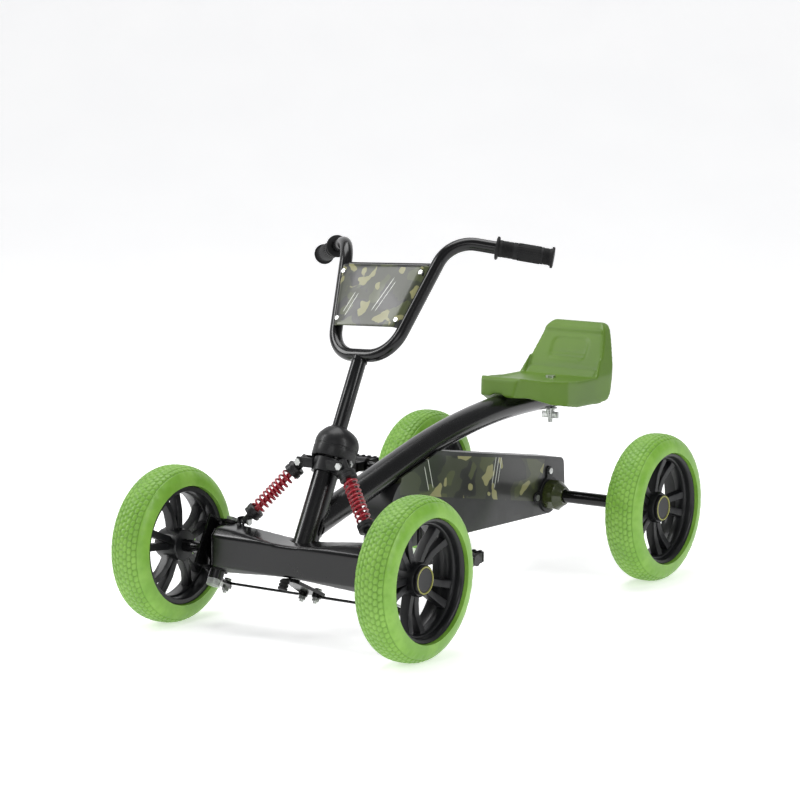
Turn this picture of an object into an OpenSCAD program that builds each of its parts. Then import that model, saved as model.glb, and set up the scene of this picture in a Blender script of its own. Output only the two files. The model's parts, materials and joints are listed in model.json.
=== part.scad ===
// Pedal go kart for a small child: four EVA wheels, raked steering column, chain drive to the rear axle.
// Millimetres. The floor is Z = 0, the front is -Y, the rider's left is +X.

/* [Overall] */
// Distance between the front and the rear axle
wheelbase = 650; // [560:5:800]
// Distance between the middles of the front tyres
front_track = 428; // [400:2:520]
// Distance between the middles of the rear tyres
rear_track = 432; // [380:2:520]

/* [Wheels] */
// Outside diameter of the tyres
tyre_d = 230; // [215:1:260]
// Width of the tyres
tyre_w = 60; // [54:1:70]
// Diameter of the rim's visible edge
rim_d = 172; // [160:1:184]
// Width of the rim between its outer edges
rim_w = 50; // [44:1:52]
// Diameter of the wheel hub
hub_d = 48; // [44:1:54]
// Number of twin spokes in a wheel
spoke_pairs = 5; // [3:1:7]
// Diameter of the journals that the wheels turn on
journal_d = 12; // [10:0.5:14]

/* [Steering] */
// Lean of the steering column and kingpins from upright, degrees
rake = 28; // [18:1:32]
// Distance of the column axis from the middle of the kart, at axle height
column_y = -298.5; // [-306:0.5:-290]
// Distance of each kingpin from the middle of the kart
kingpin_x = 138; // [128:1:146]
// Length of the pitman arm and of the knuckle arms
arm_l = 45; // [38:1:50]
// Sideways step of the tie rod bolts from their arms' axes
arm_step = 12; // [9:1:18]
// Diameter of the tie rods
tie_rod_d = 4; // [3:0.5:6]

/* [Handlebar] */
// How far the bar stands round in its stem, degrees, + to the rider's left
bar_turn = -6; // [-15:1:15]
// Diameter of the bar
bar_d = 19; // [16:0.5:22]
// Diameter of the stem
stem_d = 22; // [20:0.5:25]
// Lean of the bar back from the column, degrees
bar_lean = 2.5; // [0:0.5:8]
// Height of the bar's lowest bend above axle height, along the column
bar_s = 309; // [280:1:330]
// Length of each grip
grip_l = 84; // [74:1:100]
// Diameter of the grips
grip_d = 26; // [24:0.5:32]

/* [Frame] */
// Diameter of the head tube
head_d = 36; // [34:0.5:42]
// Diameter of the main tube
main_d = 40; // [34:0.5:42]
// Rise of the main tube's straight front part, degrees
main_rise = 15.3; // [13:0.1:18]
// Radius of the main tube's long bend
main_bend = 1250; // [1100:10:1400]
// Depth of the front beam at its middle
beam_depth = 54; // [50:1:60]
// Height of the front beam at its middle
beam_h = 47; // [43:1:52]

/* [Drive] */
// Teeth on the chainring
ring_teeth = 20; // [18:1:21]
// Teeth on the rear sprocket
rear_teeth = 11; // [9:1:12]
// Links in the chain
chain_links = 76; // [74:2:80]
// Height of the crank axis above the rear axle
crank_rise = 32; // [26:1:38]
// Length of the crank arms
crank_l = 61; // [50:1:70]
// Half width of the chain guard
guard_half = 23; // [22.5:0.5:28]

/* [Seat] */
// Width of the seat
seat_w = 146; // [130:1:190]
// How far the seat can slide each way
seat_travel = 15; // [8:1:17]

/* [Hidden] */
$fn = 48;
axle_z = tyre_d / 2;
front_y = -wheelbase / 2;
rear_y = wheelbase / 2;
gap = 0.3;              // between parts that pass each other
fit = 0.05;             // radial clearance of running fits
seat_gap = 0.1;         // between curved parts of one body
graze = 0.02;           // a bend is this much thinner than its straights, so that walls never graze
pitch = 12.7;           // chain pitch
tyre_r = tyre_d / 2;
rim_r = rim_d / 2;
rim_wall = 4;
lip = 3;                // width of the rim's outer lips
hub_r = hub_d / 2;
hub_in = 24;            // the hub's inner end from the wheel's middle
hub_out = 12;           // the hub's outer end
pocket_x = 2;           // floor of the nut pocket in the hub
pocket_r = 16;
cap_r = 20.5;
cap_out = 18;           // outer face of the hub cap
journal_r = journal_d / 2;
steel = "#1c1c1f";
zinc = "silver";
lime = "#8fc04e";
olive = "#4d5a2b";
black = "#202022";

// column frame: local X = kart X, local Y = back along the arms, local Z = up the column
w_axle = (front_y - column_y) * cos(rake);   // the front axle in the column frame
s_axle = (front_y - column_y) * sin(rake);
sleeve_r = 15;
sleeve_h = 33;          // half length of a kingpin sleeve
kingpin_r = 6;
bush_wall = 4;
plate_t = 4;            // thickness of the knuckle's plates
knuckle_in = 17;        // the knuckle's side plate from the kingpin
pitman_top = -35;
pitman_t = 5;
rod_end_t = tie_rod_d + 0.6;
rod_s = pitman_top - pitman_t - gap - rod_end_t / 2;
arm_top = rod_s - rod_end_t / 2 - gap;
arm_t = 5;
bolt_r = 3;
column_r = 8;
stem_r = stem_d / 2;
head_r = head_d / 2;
head_bore = head_r - 3;
head_low = -14;
head_top = 148;
stem_low = 118;
stem_bolt_s = 160;      // the cross bolt that holds the stem on the column

// beam
beam_y = -311;
beam_mid_z = 114.5;
beam_end_h = 66;
beam_end_z = 116;
beam_end_depth = 52;
beam_half = kingpin_x - 5;

// main tube path, in the YZ plane
main_r = main_d / 2;
main_wall = 2;
bend_y = -30;
bend_z = 224;
flat_y = bend_y + main_bend * sin(main_rise);
flat_z = bend_z + main_bend * (1 - cos(main_rise));
foot_y = column_y + 44;

// drive
crank_z = axle_z + crank_rise;
ring_r = ring_teeth * pitch / (2 * PI);
cog_r = rear_teeth * pitch / (2 * PI);
free_len = chain_links * pitch - PI * (ring_r + cog_r);
axis_gap = (free_len + sqrt(pow(free_len, 2) - 4 * pow(ring_r - cog_r, 2))) / 4;
crank_y = rear_y - sqrt(pow(axis_gap, 2) - pow(crank_rise, 2));
wrap = asin((ring_r - cog_r) / axis_gap);
line_tilt = -atan(crank_rise / (rear_y - crank_y));
guard_wall = 2;
drive_plate_in = 13;
drive_plate_t = 3;
axle_r = 10;
flange_bolt_r = 38;
crank_r = 6;
crank_x = 40;
crank_end_x = 136;
pedal_x0 = 52;
pedal_x1 = 132;
post_r = 6;

// handlebar, in its own plane: local Z up the bar, local Y back
u_r = 50;
u_flat = 14.5;
leg_splay = 13;
grip_dir = [0.82, 0.56, 0.10];
knee = [99.7, 0, 186.4];
knee_r = 52;
grip_from = 67;         // from the knee to the grip's inner end
bar_r = bar_d / 2;
grip_r = grip_d / 2;

// seat
seat_half = seat_w / 2;
seat_bolt_y = 366;
seat_rear = 463;        // the rearmost point of the seat
tube_end_y = seat_rear - 70;
pan_z = 300;

// ---- helpers ----

// moves a part so that the origin lies under the middle of the whole length
module centred() translate([0, -(seat_rear - wheelbase / 2 - tyre_d / 2) / 2, 0]) children();

function unit(v) = v / norm(v);
function arc(c, r, a0, a1, n) = [for (i = [0:n]) c + r * [cos(a0 + (a1 - a0) * i / n), sin(a0 + (a1 - a0) * i / n)]];

// places children in the steering column's frame
module on_column() translate([0, column_y, axle_z]) rotate([-rake, 0, 0]) children();

// places children in a kingpin's frame, side 1 is the rider's left
module on_kingpin(side) on_column() translate([side * kingpin_x, 0, 0]) mirror([side < 0 ? 1 : 0, 0, 0]) children();

// a ring or rod along X, from x0 to x1
module along_x(x0, x1, r, bore = 0) translate([x0, 0, 0]) rotate([0, 90, 0]) difference() {
    cylinder(r = r, h = x1 - x0);
    if (bore > 0) translate([0, 0, -1]) cylinder(r = bore, h = x1 - x0 + 2);
}

// a prism along X from a drawing in (y, z)
module slab_x(x0, x1) translate([x0, 0, 0])
    multmatrix([[0, 0, 1, 0], [1, 0, 0, 0], [0, 1, 0, 0], [0, 0, 0, 1]])
    linear_extrude(x1 - x0) children();

// straight tube between two points
module straight(a, b, r, bore = 0) {
    v = b - a;
    z = unit(v);
    x = unit(cross(abs(z[2]) > 0.9 ? [0, 1, 0] : [0, 0, 1], z));
    y = cross(z, x);
    multmatrix([[x[0], y[0], z[0], a[0]], [x[1], y[1], z[1], a[1]], [x[2], y[2], z[2], a[2]], [0, 0, 0, 1]])
        difference() {
            cylinder(r = r, h = norm(v));
            if (bore > 0) translate([0, 0, -1]) cylinder(r = bore, h = norm(v) + 2);
        }
}

// tube bent from direction d1 to d2, starting at p
module elbow(p, d1, d2, bend, r) {
    turn = acos(d1 * d2);
    n = unit(cross(d1, d2));
    m = cross(n, d1);
    c = p + bend * m;
    multmatrix([[-m[0], d1[0], n[0], c[0]], [-m[1], d1[1], n[1], c[1]], [-m[2], d1[2], n[2], c[2]], [0, 0, 0, 1]])
        rotate_extrude(angle = turn, $fn = 96) translate([bend, 0]) circle(r);
}

// a bend between two straights that reach into it, drawn a hair thinner so that their walls never graze
module soft_elbow(p, d1, d2, bend, r) {
    elbow(p, d1, d2, bend, r - graze);
    straight(p - d1 * 1, p + d1 * 0.4, r);
    q = p + bend * tan(acos(d1 * d2) / 2) * (d1 + d2);
    straight(q - d2 * 0.4, q + d2 * 1, r);
}

// rod through points, with round bends
module bent_rod(pts, r, bend) {
    last = len(pts) - 1;
    dir = [for (i = [0:last - 1]) unit(pts[i + 1] - pts[i])];
    cut = [for (i = [0:last]) i == 0 || i == last ? 0 : bend * tan(acos(dir[i - 1] * dir[i]) / 2)];
    for (i = [0:last - 1]) straight(pts[i] + dir[i] * cut[i], pts[i + 1] - dir[i] * cut[i + 1], r);
    for (i = [1:last - 1]) elbow(pts[i] - dir[i - 1] * cut[i], dir[i - 1], dir[i], bend, r);
}

module hex(r, h) cylinder(r = r, h = h, $fn = 6);

// hexagon bolt hanging down: head above z = 0, nut below z = -grip_len
module bolt_down(r, grip_len) {
    hex(r * 1.9, r * 1.3);
    translate([0, 0, -grip_len - r * 2.6]) cylinder(r = r, h = grip_len + r * 2.6 + r);
}
module nut_down(r, at) translate([0, 0, at - r * 1.6]) difference() {
    hex(r * 1.9, r * 1.6);
    translate([0, 0, -1]) cylinder(r = r + seat_gap, h = r * 1.6 + 2);
}

// ---- wheels ----

module on_wheel(side, track, y) translate([side * track / 2, y, axle_z]) mirror([side < 0 ? 1 : 0, 0, 0]) children();

// profile in (radius, across) turned about X
module turn_x() rotate([0, 90, 0]) rotate_extrude($fn = 96) children();

module tyre() color(lime) {
    round_n = 2 / 2.6;
    inner = rim_r + seat_gap;
    channel = rim_r - rim_wall + seat_gap;
    side_x = rim_w / 2 - lip - seat_gap;
    outer = [for (a = [0:12:180])
        [inner + (tyre_r - inner) * pow(sin(a), round_n), -tyre_w / 2 * sign(cos(a)) * pow(abs(cos(a)), round_n)]];
    turn_x() polygon(concat(outer, [[inner, side_x], [channel, side_x], [channel, -side_x], [inner, -side_x]]));
}

module rim() color(black) difference() {
    union() {
        turn_x() difference() {
            translate([rim_r - 2 * rim_wall, -rim_w / 2]) square([2 * rim_wall, rim_w]);
            translate([rim_r - rim_wall, -rim_w / 2 + lip]) square([2 * rim_wall, rim_w - 2 * lip]);
        }
        along_x(-hub_in, hub_out, hub_r);
        for (i = [0:spoke_pairs - 1]) rotate([360 / spoke_pairs * i, 0, 0])
            for (t = [-1, 1]) translate([-5, t * 10 - 4.5, hub_r - 4]) cube([13, 9, rim_r - 1.5 * rim_wall - hub_r + 4]);
    }
    along_x(-hub_in - 1, hub_out + 1, journal_r + fit);
    along_x(pocket_x, hub_out + 1, pocket_r);
}

module hub_cap() color(olive) difference() {
    along_x(hub_out, cap_out, cap_r);
    along_x(hub_out - 1, cap_out - 3, pocket_r - 2);
}

// washer and nut in the hub's pocket
module axle_nut() color(zinc) {
    along_x(pocket_x + gap, pocket_x + 1.8, 11, journal_r);
    translate([pocket_x + 1.8, 0, 0]) rotate([0, 90, 0]) difference() {
        hex(10, 6);
        translate([0, 0, -1]) cylinder(r = journal_r, h = 8);
    }
}

// ---- frame ----

// smooth step from 0 at the middle to 1 at the beam's ends
function swell(t) = (1 - cos(180 * min(1, abs(t)))) / 2;

module front_beam() color(steel) difference() {
    union() {
        intersection() {
            // seen from the front
            rotate([90, 0, 0]) linear_extrude(800, center = true) polygon(concat(
                [for (i = [-12:12]) [beam_half * i / 12,
                    beam_mid_z + beam_h / 2 + swell(i / 12) * (beam_end_z + beam_end_h / 2 - beam_mid_z - beam_h / 2)]],
                [for (i = [12:-1:-12]) [beam_half * i / 12,
                    beam_mid_z - beam_h / 2 + swell(i / 12) * (beam_end_z - beam_end_h / 2 - beam_mid_z + beam_h / 2)]]));
            // seen from the side, with chamfered long edges
            slab_x(-beam_half, beam_half) polygon([
                [beam_y - beam_depth / 2, 95], [beam_y - beam_depth / 2 + 20, 78], [beam_y + beam_depth / 2 - 14, 78],
                [beam_y + beam_depth / 2, 92], [beam_y + beam_depth / 2, 140], [beam_y + beam_depth / 2 - 10, 152],
                [beam_y - beam_depth / 2 + 14, 152], [beam_y - beam_depth / 2, 138]]);
        }
        for (side = [-1, 1]) on_kingpin(side) translate([0, 0, -sleeve_h]) cylinder(r = sleeve_r, h = 2 * sleeve_h);
        // ears that hold the feet of the springs
        for (side = [-1, 1]) mirror([side < 0 ? 1 : 0, 0, 0])
            translate([strut_foot[0] + ear_from, strut_foot[1] - 8, 130]) cube([4, 16, strut_foot[2] - 122]);
    }
    on_column() translate([0, 0, -80]) cylinder(r = head_r, h = 240);
    for (side = [-1, 1]) translate([side * strut_foot[0], strut_foot[1], strut_foot[2]])
        rotate([0, side * 90, 0]) cylinder(r = bolt_r, h = 20);
    for (side = [-1, 1]) on_kingpin(side) {
        translate([0, 0, -100]) cylinder(r = kingpin_r + bush_wall, h = 200);
        translate([0, 0, sleeve_h]) cylinder(r = sleeve_r + 4, h = 60);
        translate([0, 0, -sleeve_h - 60]) cylinder(r = sleeve_r + 4, h = 60);
    }
}

module head_tube() color(steel) difference() {
    on_column() translate([0, 0, head_low]) cylinder(r = head_r, h = head_top - head_low);
    on_column() translate([0, 0, head_low - 1]) cylinder(r = head_bore, h = head_top - head_low + 2);
}

// the main tube's run, as a solid of the given radius, longer at both ends by the given amount
module main_run(r, past = 0) {
    rise = [0, cos(main_rise), sin(main_rise)];
    knee = [0, bend_y, bend_z];
    straight(knee - rise * (bend_y - foot_y + 30 + past) / rise[1], knee + rise * 0.5, r);
    elbow(knee, rise, [0, 1, 0], main_bend, r - graze);
    straight([0, flat_y - 0.5, flat_z], [0, tube_end_y + past, flat_z], r);
}

module main_tube() color(steel) difference() {
    main_run(main_r);
    main_run(main_r - main_wall, 2);
    on_column() translate([0, 0, -60]) cylinder(r = head_r, h = 300);
    on_column() translate([-100, -194, -100]) cube([200, 200, 400]);
    // slot for the seat bolt
    for (e = [-1, 1]) translate([0, seat_bolt_y + e * seat_travel, flat_z - 40]) cylinder(r = 4.3, h = 80);
    translate([-4.3, seat_bolt_y - seat_travel, flat_z - 40]) cube([8.6, 2 * seat_travel, 80]);
}

module tube_end_cap() color(black) translate([0, tube_end_y, flat_z]) rotate([-90, 0, 0]) {
    cylinder(r = main_r, h = 3);
    translate([0, 0, -6]) cylinder(r = main_r - main_wall - seat_gap, h = 6);
}

// ---- spring struts, fixed between the head tube and the beam ----

collar_low = 126;
collar_high = 146;
strut_top = [36, -245, 243];
strut_foot = [112, beam_y + 26, 152];
strut_dir = unit(strut_foot - strut_top);
strut_l = norm(strut_foot - strut_top);
ear_from = 4;           // the beam's ear stands this far outside a strut's foot

// places children with +Z down a strut, from its upper eye
module strut_frame(side) {
    z = strut_dir;
    x = unit(cross([0, 1, 0], z));
    y = cross(z, x);
    mirror([side < 0 ? 1 : 0, 0, 0])
        multmatrix([[x[0], y[0], z[0], strut_top[0]], [x[1], y[1], z[1], strut_top[1]],
            [x[2], y[2], z[2], strut_top[2]], [0, 0, 0, 1]]) children();
}

module shock_collar() color(steel) difference() {
    union() {
        on_column() translate([0, 0, collar_low]) cylinder(r = head_r + 4, h = collar_high - collar_low);
        for (side = [-1, 1]) mirror([side < 0 ? 1 : 0, 0, 0])
            for (y = [-11, 7]) translate([12, strut_top[1] + y, strut_top[2] - 7]) cube([strut_top[0] - 8, 4, 14]);
    }
    on_column() translate([0, 0, collar_low - 50]) cylinder(r = head_r + seat_gap, h = 200);
    // room for the column's cover
    on_column() translate([0, 6, 148.7]) cylinder(r = 33, h = 60);
    for (side = [-1, 1]) translate([side * strut_top[0], strut_top[1] - 20, strut_top[2]])
        rotate([-90, 0, 0]) cylinder(r = bolt_r, h = 40);
}

module shock_upper_cups() color(black) for (side = [-1, 1]) difference() {
    strut_frame(side) {
        translate([0, 0, -8]) cylinder(r = 6.5, h = 21);
        translate([0, 0, 12]) cylinder(r = 13, h = 13);
    }
    // room for the collar's ears
    mirror([side < 0 ? 1 : 0, 0, 0]) for (y = [-11.2, 6.8])
        translate([0, strut_top[1] + y, strut_top[2] - 7.2]) cube([strut_top[0] + 4.2, 4.4, 14.4]);
    strut_frame(side) translate([0, 0, 11]) cylinder(r = 4 + seat_gap, h = 20);
    translate([side * strut_top[0], strut_top[1] - 20, strut_top[2]])
        rotate([-90, 0, 0]) cylinder(r = bolt_r + seat_gap, h = 40);
}

module shock_rods() color(zinc) for (side = [-1, 1]) strut_frame(side)
    translate([0, 0, 11]) cylinder(r = 4, h = strut_l - 27);

// the coil as a sleeve of its own size
module shock_springs() color("crimson") for (side = [-1, 1]) strut_frame(side) translate([0, 0, 25]) difference() {
    cylinder(r = 11.5, h = strut_l - 51);
    translate([0, 0, -1]) cylinder(r = 8, h = strut_l);
}

module shock_lower_cups() color(black) for (side = [-1, 1]) difference() {
    strut_frame(side) {
        translate([0, 0, strut_l - 26]) cylinder(r = 13, h = 12);
        translate([0, 0, strut_l - 15]) cylinder(r = 5.5, h = 15);
    }
    strut_frame(side) translate([0, 0, 11]) cylinder(r = 4 + seat_gap, h = strut_l - 27 + seat_gap);
    translate([side * strut_foot[0] - 20, strut_foot[1], strut_foot[2]])
        rotate([0, 90, 0]) cylinder(r = bolt_r + seat_gap, h = 40);
    // room for the bolt's head
    translate([side * strut_foot[0], strut_foot[1], strut_foot[2]])
        rotate([0, side * 90, 0]) translate([0, 0, -27]) cylinder(r = 6.2, h = 20);
    mirror([side < 0 ? 1 : 0, 0, 0]) translate([strut_foot[0] + ear_from - seat_gap, -400, 0]) cube([60, 200, 300]);
    translate([side * strut_foot[0] - 30, -400, strut_foot[2] - 28]) cube([60, 200, 20]);
}

module shock_bolts() color(zinc) for (side = [-1, 1]) {
    translate([side * strut_foot[0], strut_foot[1], strut_foot[2]]) rotate([0, side * 90, 0]) {
        translate([0, 0, -7]) cylinder(r = bolt_r, h = ear_from + 13);
        translate([0, 0, -10]) hex(5.5, 3);
        translate([0, 0, ear_from + 4]) hex(5.5, 2);
    }
    translate([side * strut_top[0], strut_top[1] - 11, strut_top[2]]) rotate([-90, 0, 0]) {
        cylinder(r = bolt_r, h = 26);
        translate([0, 0, -4]) hex(5.5, 4);
        translate([0, 0, 22]) hex(5.5, 4);
    }
}

module column_cover() color(black) difference() {
    on_column() translate([0, 6, 0]) rotate_extrude($fn = 64) polygon(concat(
        [[0, 149], [31, 149], [32, 166]], arc([8, 172], 24, 0, 80, 8), [[12, 197], [0, 197]]));
    on_column() translate([0, 0, 140]) cylinder(r = head_r + 2, h = 13);
    on_column() translate([0, 0, 140]) cylinder(r = stem_r + 2, h = 80);
    on_column() translate([0, 3, 147]) cylinder(r = 24, h = 30);
}

module steering_bushes() color("ivory") on_column() {
    translate([0, 0, head_top - 16]) difference() {
        cylinder(r = head_bore - seat_gap, h = 16);
        translate([0, 0, -1]) cylinder(r = stem_r + fit, h = 20);
    }
    translate([0, 0, head_low]) difference() {
        cylinder(r = head_bore - seat_gap, h = 16);
        translate([0, 0, -1]) cylinder(r = column_r + fit, h = 20);
    }
}

module kingpin_bushes() color("ivory") for (side = [-1, 1]) on_kingpin(side)
    for (z = [-sleeve_h, sleeve_h - 14]) translate([0, 0, z]) difference() {
        cylinder(r = kingpin_r + bush_wall - seat_gap, h = 14);
        translate([0, 0, -1]) cylinder(r = kingpin_r + fit, h = 16);
    }

// ---- steering ----

module steering_column() color(steel) on_column() difference() {
    union() {
        translate([0, 0, pitman_top - pitman_t]) cylinder(r = column_r, h = stem_bolt_s + 13 - pitman_top + pitman_t);
        translate([0, 0, pitman_top - pitman_t]) linear_extrude(pitman_t) union() {
            circle(12);
            polygon([[-12, 0], [12, 0], [arm_step + 8, arm_l - 2], [arm_step + 8, arm_l + 8],
                [-arm_step - 8, arm_l + 8], [-arm_step - 8, arm_l - 2]]);
        }
    }
    for (side = [-1, 1]) translate([side * arm_step, arm_l, pitman_top - pitman_t - 1])
        cylinder(r = bolt_r + seat_gap, h = pitman_t + 2);
    rotate([0, 0, bar_turn]) translate([0, 0, stem_bolt_s]) along_x(-20, 20, bolt_r + seat_gap);
}

// ribbed rubber bumper under the head tube, ahead of the pitman arm
module steering_bumper() color(black) difference() {
    on_column() translate([0, -21, pitman_top - 20]) {
        cylinder(r = 5.5, h = 30);
        for (z = [0:5:25]) translate([0, 0, z]) cylinder(r = 7, h = 3);
    }
    translate([-20, beam_y - 40, beam_mid_z - beam_h / 2 - 0.9]) cube([40, 80, 60]);
}

// bolts, washers and nuts that hold the inner ends of the tie rods
module pitman_bolts() color(zinc) on_column() for (side = [-1, 1]) translate([side * arm_step, arm_l, pitman_top]) {
    bolt_down(bolt_r, pitman_t + rod_end_t + 2 * gap);
    nut_down(bolt_r, -pitman_t - rod_end_t - 2 * gap);
}

module tie_rod(side) color(steel) on_column() mirror([side < 0 ? 1 : 0, 0, 0]) difference() {
    union() {
        for (x = [arm_step, kingpin_x + arm_step])
            translate([x, arm_l, rod_s - rod_end_t / 2]) cylinder(r = 7, h = rod_end_t);
        translate([0, arm_l, rod_s]) along_x(arm_step + 3, kingpin_x + arm_step - 3, tie_rod_d / 2);
    }
    translate([arm_step, arm_l, rod_s - 10]) cylinder(r = bolt_r + fit, h = 20);
    translate([kingpin_x + arm_step, arm_l, rod_s - 10]) cylinder(r = bolt_r + 0.4, h = 20);
}

module knuckle(side) color(steel) on_kingpin(side) difference() {
    union() {
        // upper and lower ears round the sleeve, and the side plate
        for (z = [sleeve_h + gap, -sleeve_h - gap - plate_t]) translate([0, 0, z]) {
            cylinder(r = sleeve_r, h = plate_t);
            translate([0, -14, 0]) cube([knuckle_in + 4, 28, plate_t]);
        }
        translate([knuckle_in, w_axle - 8, -sleeve_h - gap - plate_t])
            cube([4, 14 - w_axle + 8, 2 * (sleeve_h + gap + plate_t)]);
        // stub axle with its shoulder
        translate([0, w_axle, s_axle]) {
            along_x(knuckle_in, front_track / 2 - kingpin_x - hub_in - gap, 9);
            along_x(knuckle_in, front_track / 2 - kingpin_x + pocket_x + 9, journal_r);
        }
        // arm for the tie rod, on a boss under the lower ear
        translate([0, 0, arm_top - arm_t]) {
            cylinder(r = 11, h = arm_t + (-sleeve_h - gap - plate_t - arm_top));
            linear_extrude(arm_t) polygon([[-11, 0], [11, 0], [arm_step + 8, arm_l], [arm_step - 8, arm_l]]);
            translate([arm_step, arm_l, 0]) cylinder(r = 8, h = arm_t);
        }
    }
    translate([0, 0, -100]) cylinder(r = kingpin_r + seat_gap, h = 200);
    translate([arm_step, arm_l, -100]) cylinder(r = bolt_r + seat_gap, h = 200);
}

// kingpin bolt and nut, the tie rod's outer bolt and nut, and the axle nut
module knuckle_bolts(side) color(zinc) {
    on_kingpin(side) {
        translate([0, 0, sleeve_h + gap + plate_t]) {
            hex(10, 6);
            translate([0, 0, arm_top - arm_t - sleeve_h - gap - plate_t - 9])
                cylinder(r = kingpin_r, h = sleeve_h + gap + plate_t - arm_top + arm_t + 12);
        }
        nut_down(kingpin_r, arm_top - arm_t);
        translate([arm_step, arm_l, arm_top + rod_end_t + 2 * gap]) {
            bolt_down(bolt_r, arm_t + rod_end_t + 2 * gap);
            nut_down(bolt_r, -arm_t - rod_end_t - 2 * gap);
        }
    }
    on_wheel(side, front_track, front_y) axle_nut();
}

// ---- handlebar ----

// places children in the bar's plane, with the origin at its lowest bend
module on_bar() on_column() rotate([0, 0, bar_turn]) translate([0, 0, bar_s]) rotate([-bar_lean, 0, 0]) children();

leg_dir = [sin(leg_splay), 0, cos(leg_splay)];
leg_foot = [u_flat + u_r * cos(leg_splay), 0, u_r * (1 - sin(leg_splay))];
grip_unit = unit(grip_dir);
knee_cut = knee_r * tan(acos(leg_dir * grip_unit) / 2);
knee_at = leg_foot + leg_dir * (knee[2] - leg_foot[2]) / leg_dir[2];
plate_low = 40;
plate_high = 140;
plate_y = -13;
plate_thick = 2.5;
cross_half = leg_foot[0] + (plate_high + 5 - leg_foot[2]) * tan(leg_splay) - 4;

module handlebar() color(steel) {
    on_column() rotate([0, 0, bar_turn]) difference() {
        translate([0, 0, stem_low]) cylinder(r = stem_r, h = bar_s - stem_low);
        translate([0, 0, stem_low - 1]) cylinder(r = column_r + seat_gap, h = 70);
        translate([0, 0, stem_bolt_s]) along_x(-20, 20, bolt_r + seat_gap);
    }
    on_bar() {
        straight([-u_flat, 0, 0], [u_flat, 0, 0], bar_r);
        straight([-cross_half, 0, plate_high + 5], [cross_half, 0, plate_high + 5], 3.5);
        for (side = [-1, 1]) mirror([side < 0 ? 1 : 0, 0, 0]) {
            soft_elbow([u_flat, 0, 0], [1, 0, 0], leg_dir, u_r, bar_r);
            straight(leg_foot, knee_at - leg_dir * knee_cut, bar_r);
            soft_elbow(knee_at - leg_dir * knee_cut, leg_dir, grip_unit, knee_r, bar_r);
            straight(knee_at + grip_unit * knee_cut, knee_at + grip_unit * (grip_from + grip_l - 4), bar_r);
            // tabs for the number plate
            for (z = [plate_low + 12, plate_high - 12])
                translate([leg_foot[0] + (z - leg_foot[2]) * tan(leg_splay) - 16, plate_y + 1, z - 5]) cube([12, 14, 10]);
        }
    }
}

module stem_bolt() color(zinc) on_column() rotate([0, 0, bar_turn]) translate([0, 0, stem_bolt_s]) {
    along_x(-14, 14, bolt_r);
    for (x = [-14, 11.2]) translate([x, 0, 0]) rotate([0, 90, 0]) hex(5, 2.8);
}

// places children on the axes of the plate's screws, on the plate's back, with +Z out of its front
module at_plate_screws() for (side = [-1, 1]) for (z = [plate_low + 12, plate_high - 12])
    translate([side * (leg_foot[0] + (z - leg_foot[2]) * tan(leg_splay) - 10), plate_y + 1, z])
        rotate([90, 0, 0]) children();

module number_plate() color("darkolivegreen") on_bar() difference() {
    half_low = leg_foot[0] + (plate_low - leg_foot[2]) * tan(leg_splay) - 3;
    half_high = leg_foot[0] + (plate_high - leg_foot[2]) * tan(leg_splay) - 3;
    translate([0, plate_y + 1, 0]) rotate([90, 0, 0]) linear_extrude(plate_thick)
        polygon([[-half_low, plate_low], [half_low, plate_low], [half_high, plate_high], [-half_high, plate_high]]);
    at_plate_screws() translate([0, 0, -1]) cylinder(r = 3.5 + seat_gap, h = plate_thick + 2);
}

// sunk screws, a little under the plate's face
module plate_screws() color(zinc) on_bar() at_plate_screws() cylinder(r = 3.5, h = plate_thick - 0.1);

module grips() color(black) on_bar() for (side = [-1, 1]) mirror([side < 0 ? 1 : 0, 0, 0]) {
    a = knee_at + grip_unit * grip_from;
    straight(a, a + grip_unit * 4, grip_r + 4, bar_r + seat_gap);
    straight(a + grip_unit * 4, a + grip_unit * (grip_l - 4), grip_r, bar_r + seat_gap);
    straight(a + grip_unit * (grip_l - 4), a + grip_unit * grip_l, grip_r + 3);
}

// ---- drive ----

module on_crank() translate([0, crank_y, crank_z]) children();
module on_axle() translate([0, rear_y, axle_z]) children();

// drawing of the chain guard's outline in (y, z), drawn in by a distance
module guard_outline() {
    nose_r = 54;
    tail_r = 31;
    top_y = crank_y + 70.6;
    top_z = 227;
    corner = [rear_y + 35, axle_z + 43];
    polygon(concat(
        [[top_y, top_z], [top_y - 16, top_z - 5.5], [crank_y - 26, top_z - 27]],
        arc([crank_y, crank_z], nose_r, 120, 264, 12),
        arc([rear_y, axle_z], tail_r, 262, 318, 6),
        [[rear_y + 45, axle_z - 13], [rear_y + 49.5, axle_z + 4]],
        arc(corner, 12, 0, 82, 5)));
}

module guard(side) color(black) mirror([side < 0 ? 1 : 0, 0, 0]) difference() {
    union() {
        slab_x(guard_half - guard_wall, guard_half) guard_outline();
        slab_x(0, guard_half - guard_wall) difference() {
            guard_outline();
            offset(delta = -guard_wall) guard_outline();
        }
    }
    main_run(guard_half - guard_wall - 0.2);
    on_crank() along_x(-50, 50, 14);
    on_axle() {
        along_x(-50, 50, 17);
        for (a = [0, 90, 180]) rotate([a, 0, 0]) translate([0, flange_bolt_r, 0]) along_x(-50, 50, 3.3);
    }
    if (side < 0) for (p = post_at) translate([0, p[0], p[1]]) along_x(0, 50, 2.8);
}

post_at = [[crank_y + 77.6, 200], [crank_y + 167.6, crank_z - 13], [rear_y - 105, axle_z + 9]];

// posts across the guard that the guard screws go into
module guard_posts() color(zinc) for (p = post_at) translate([0, p[0], p[1]])
    along_x(-guard_half + guard_wall, guard_half - guard_wall, post_r, 0);

module guard_screws() color(zinc) for (p = post_at) translate([0, p[0], p[1]]) {
    along_x(-guard_half - 1.5, -guard_half, 4.5);
    along_x(-guard_half, -guard_half + guard_wall, 2.5);
}

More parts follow.
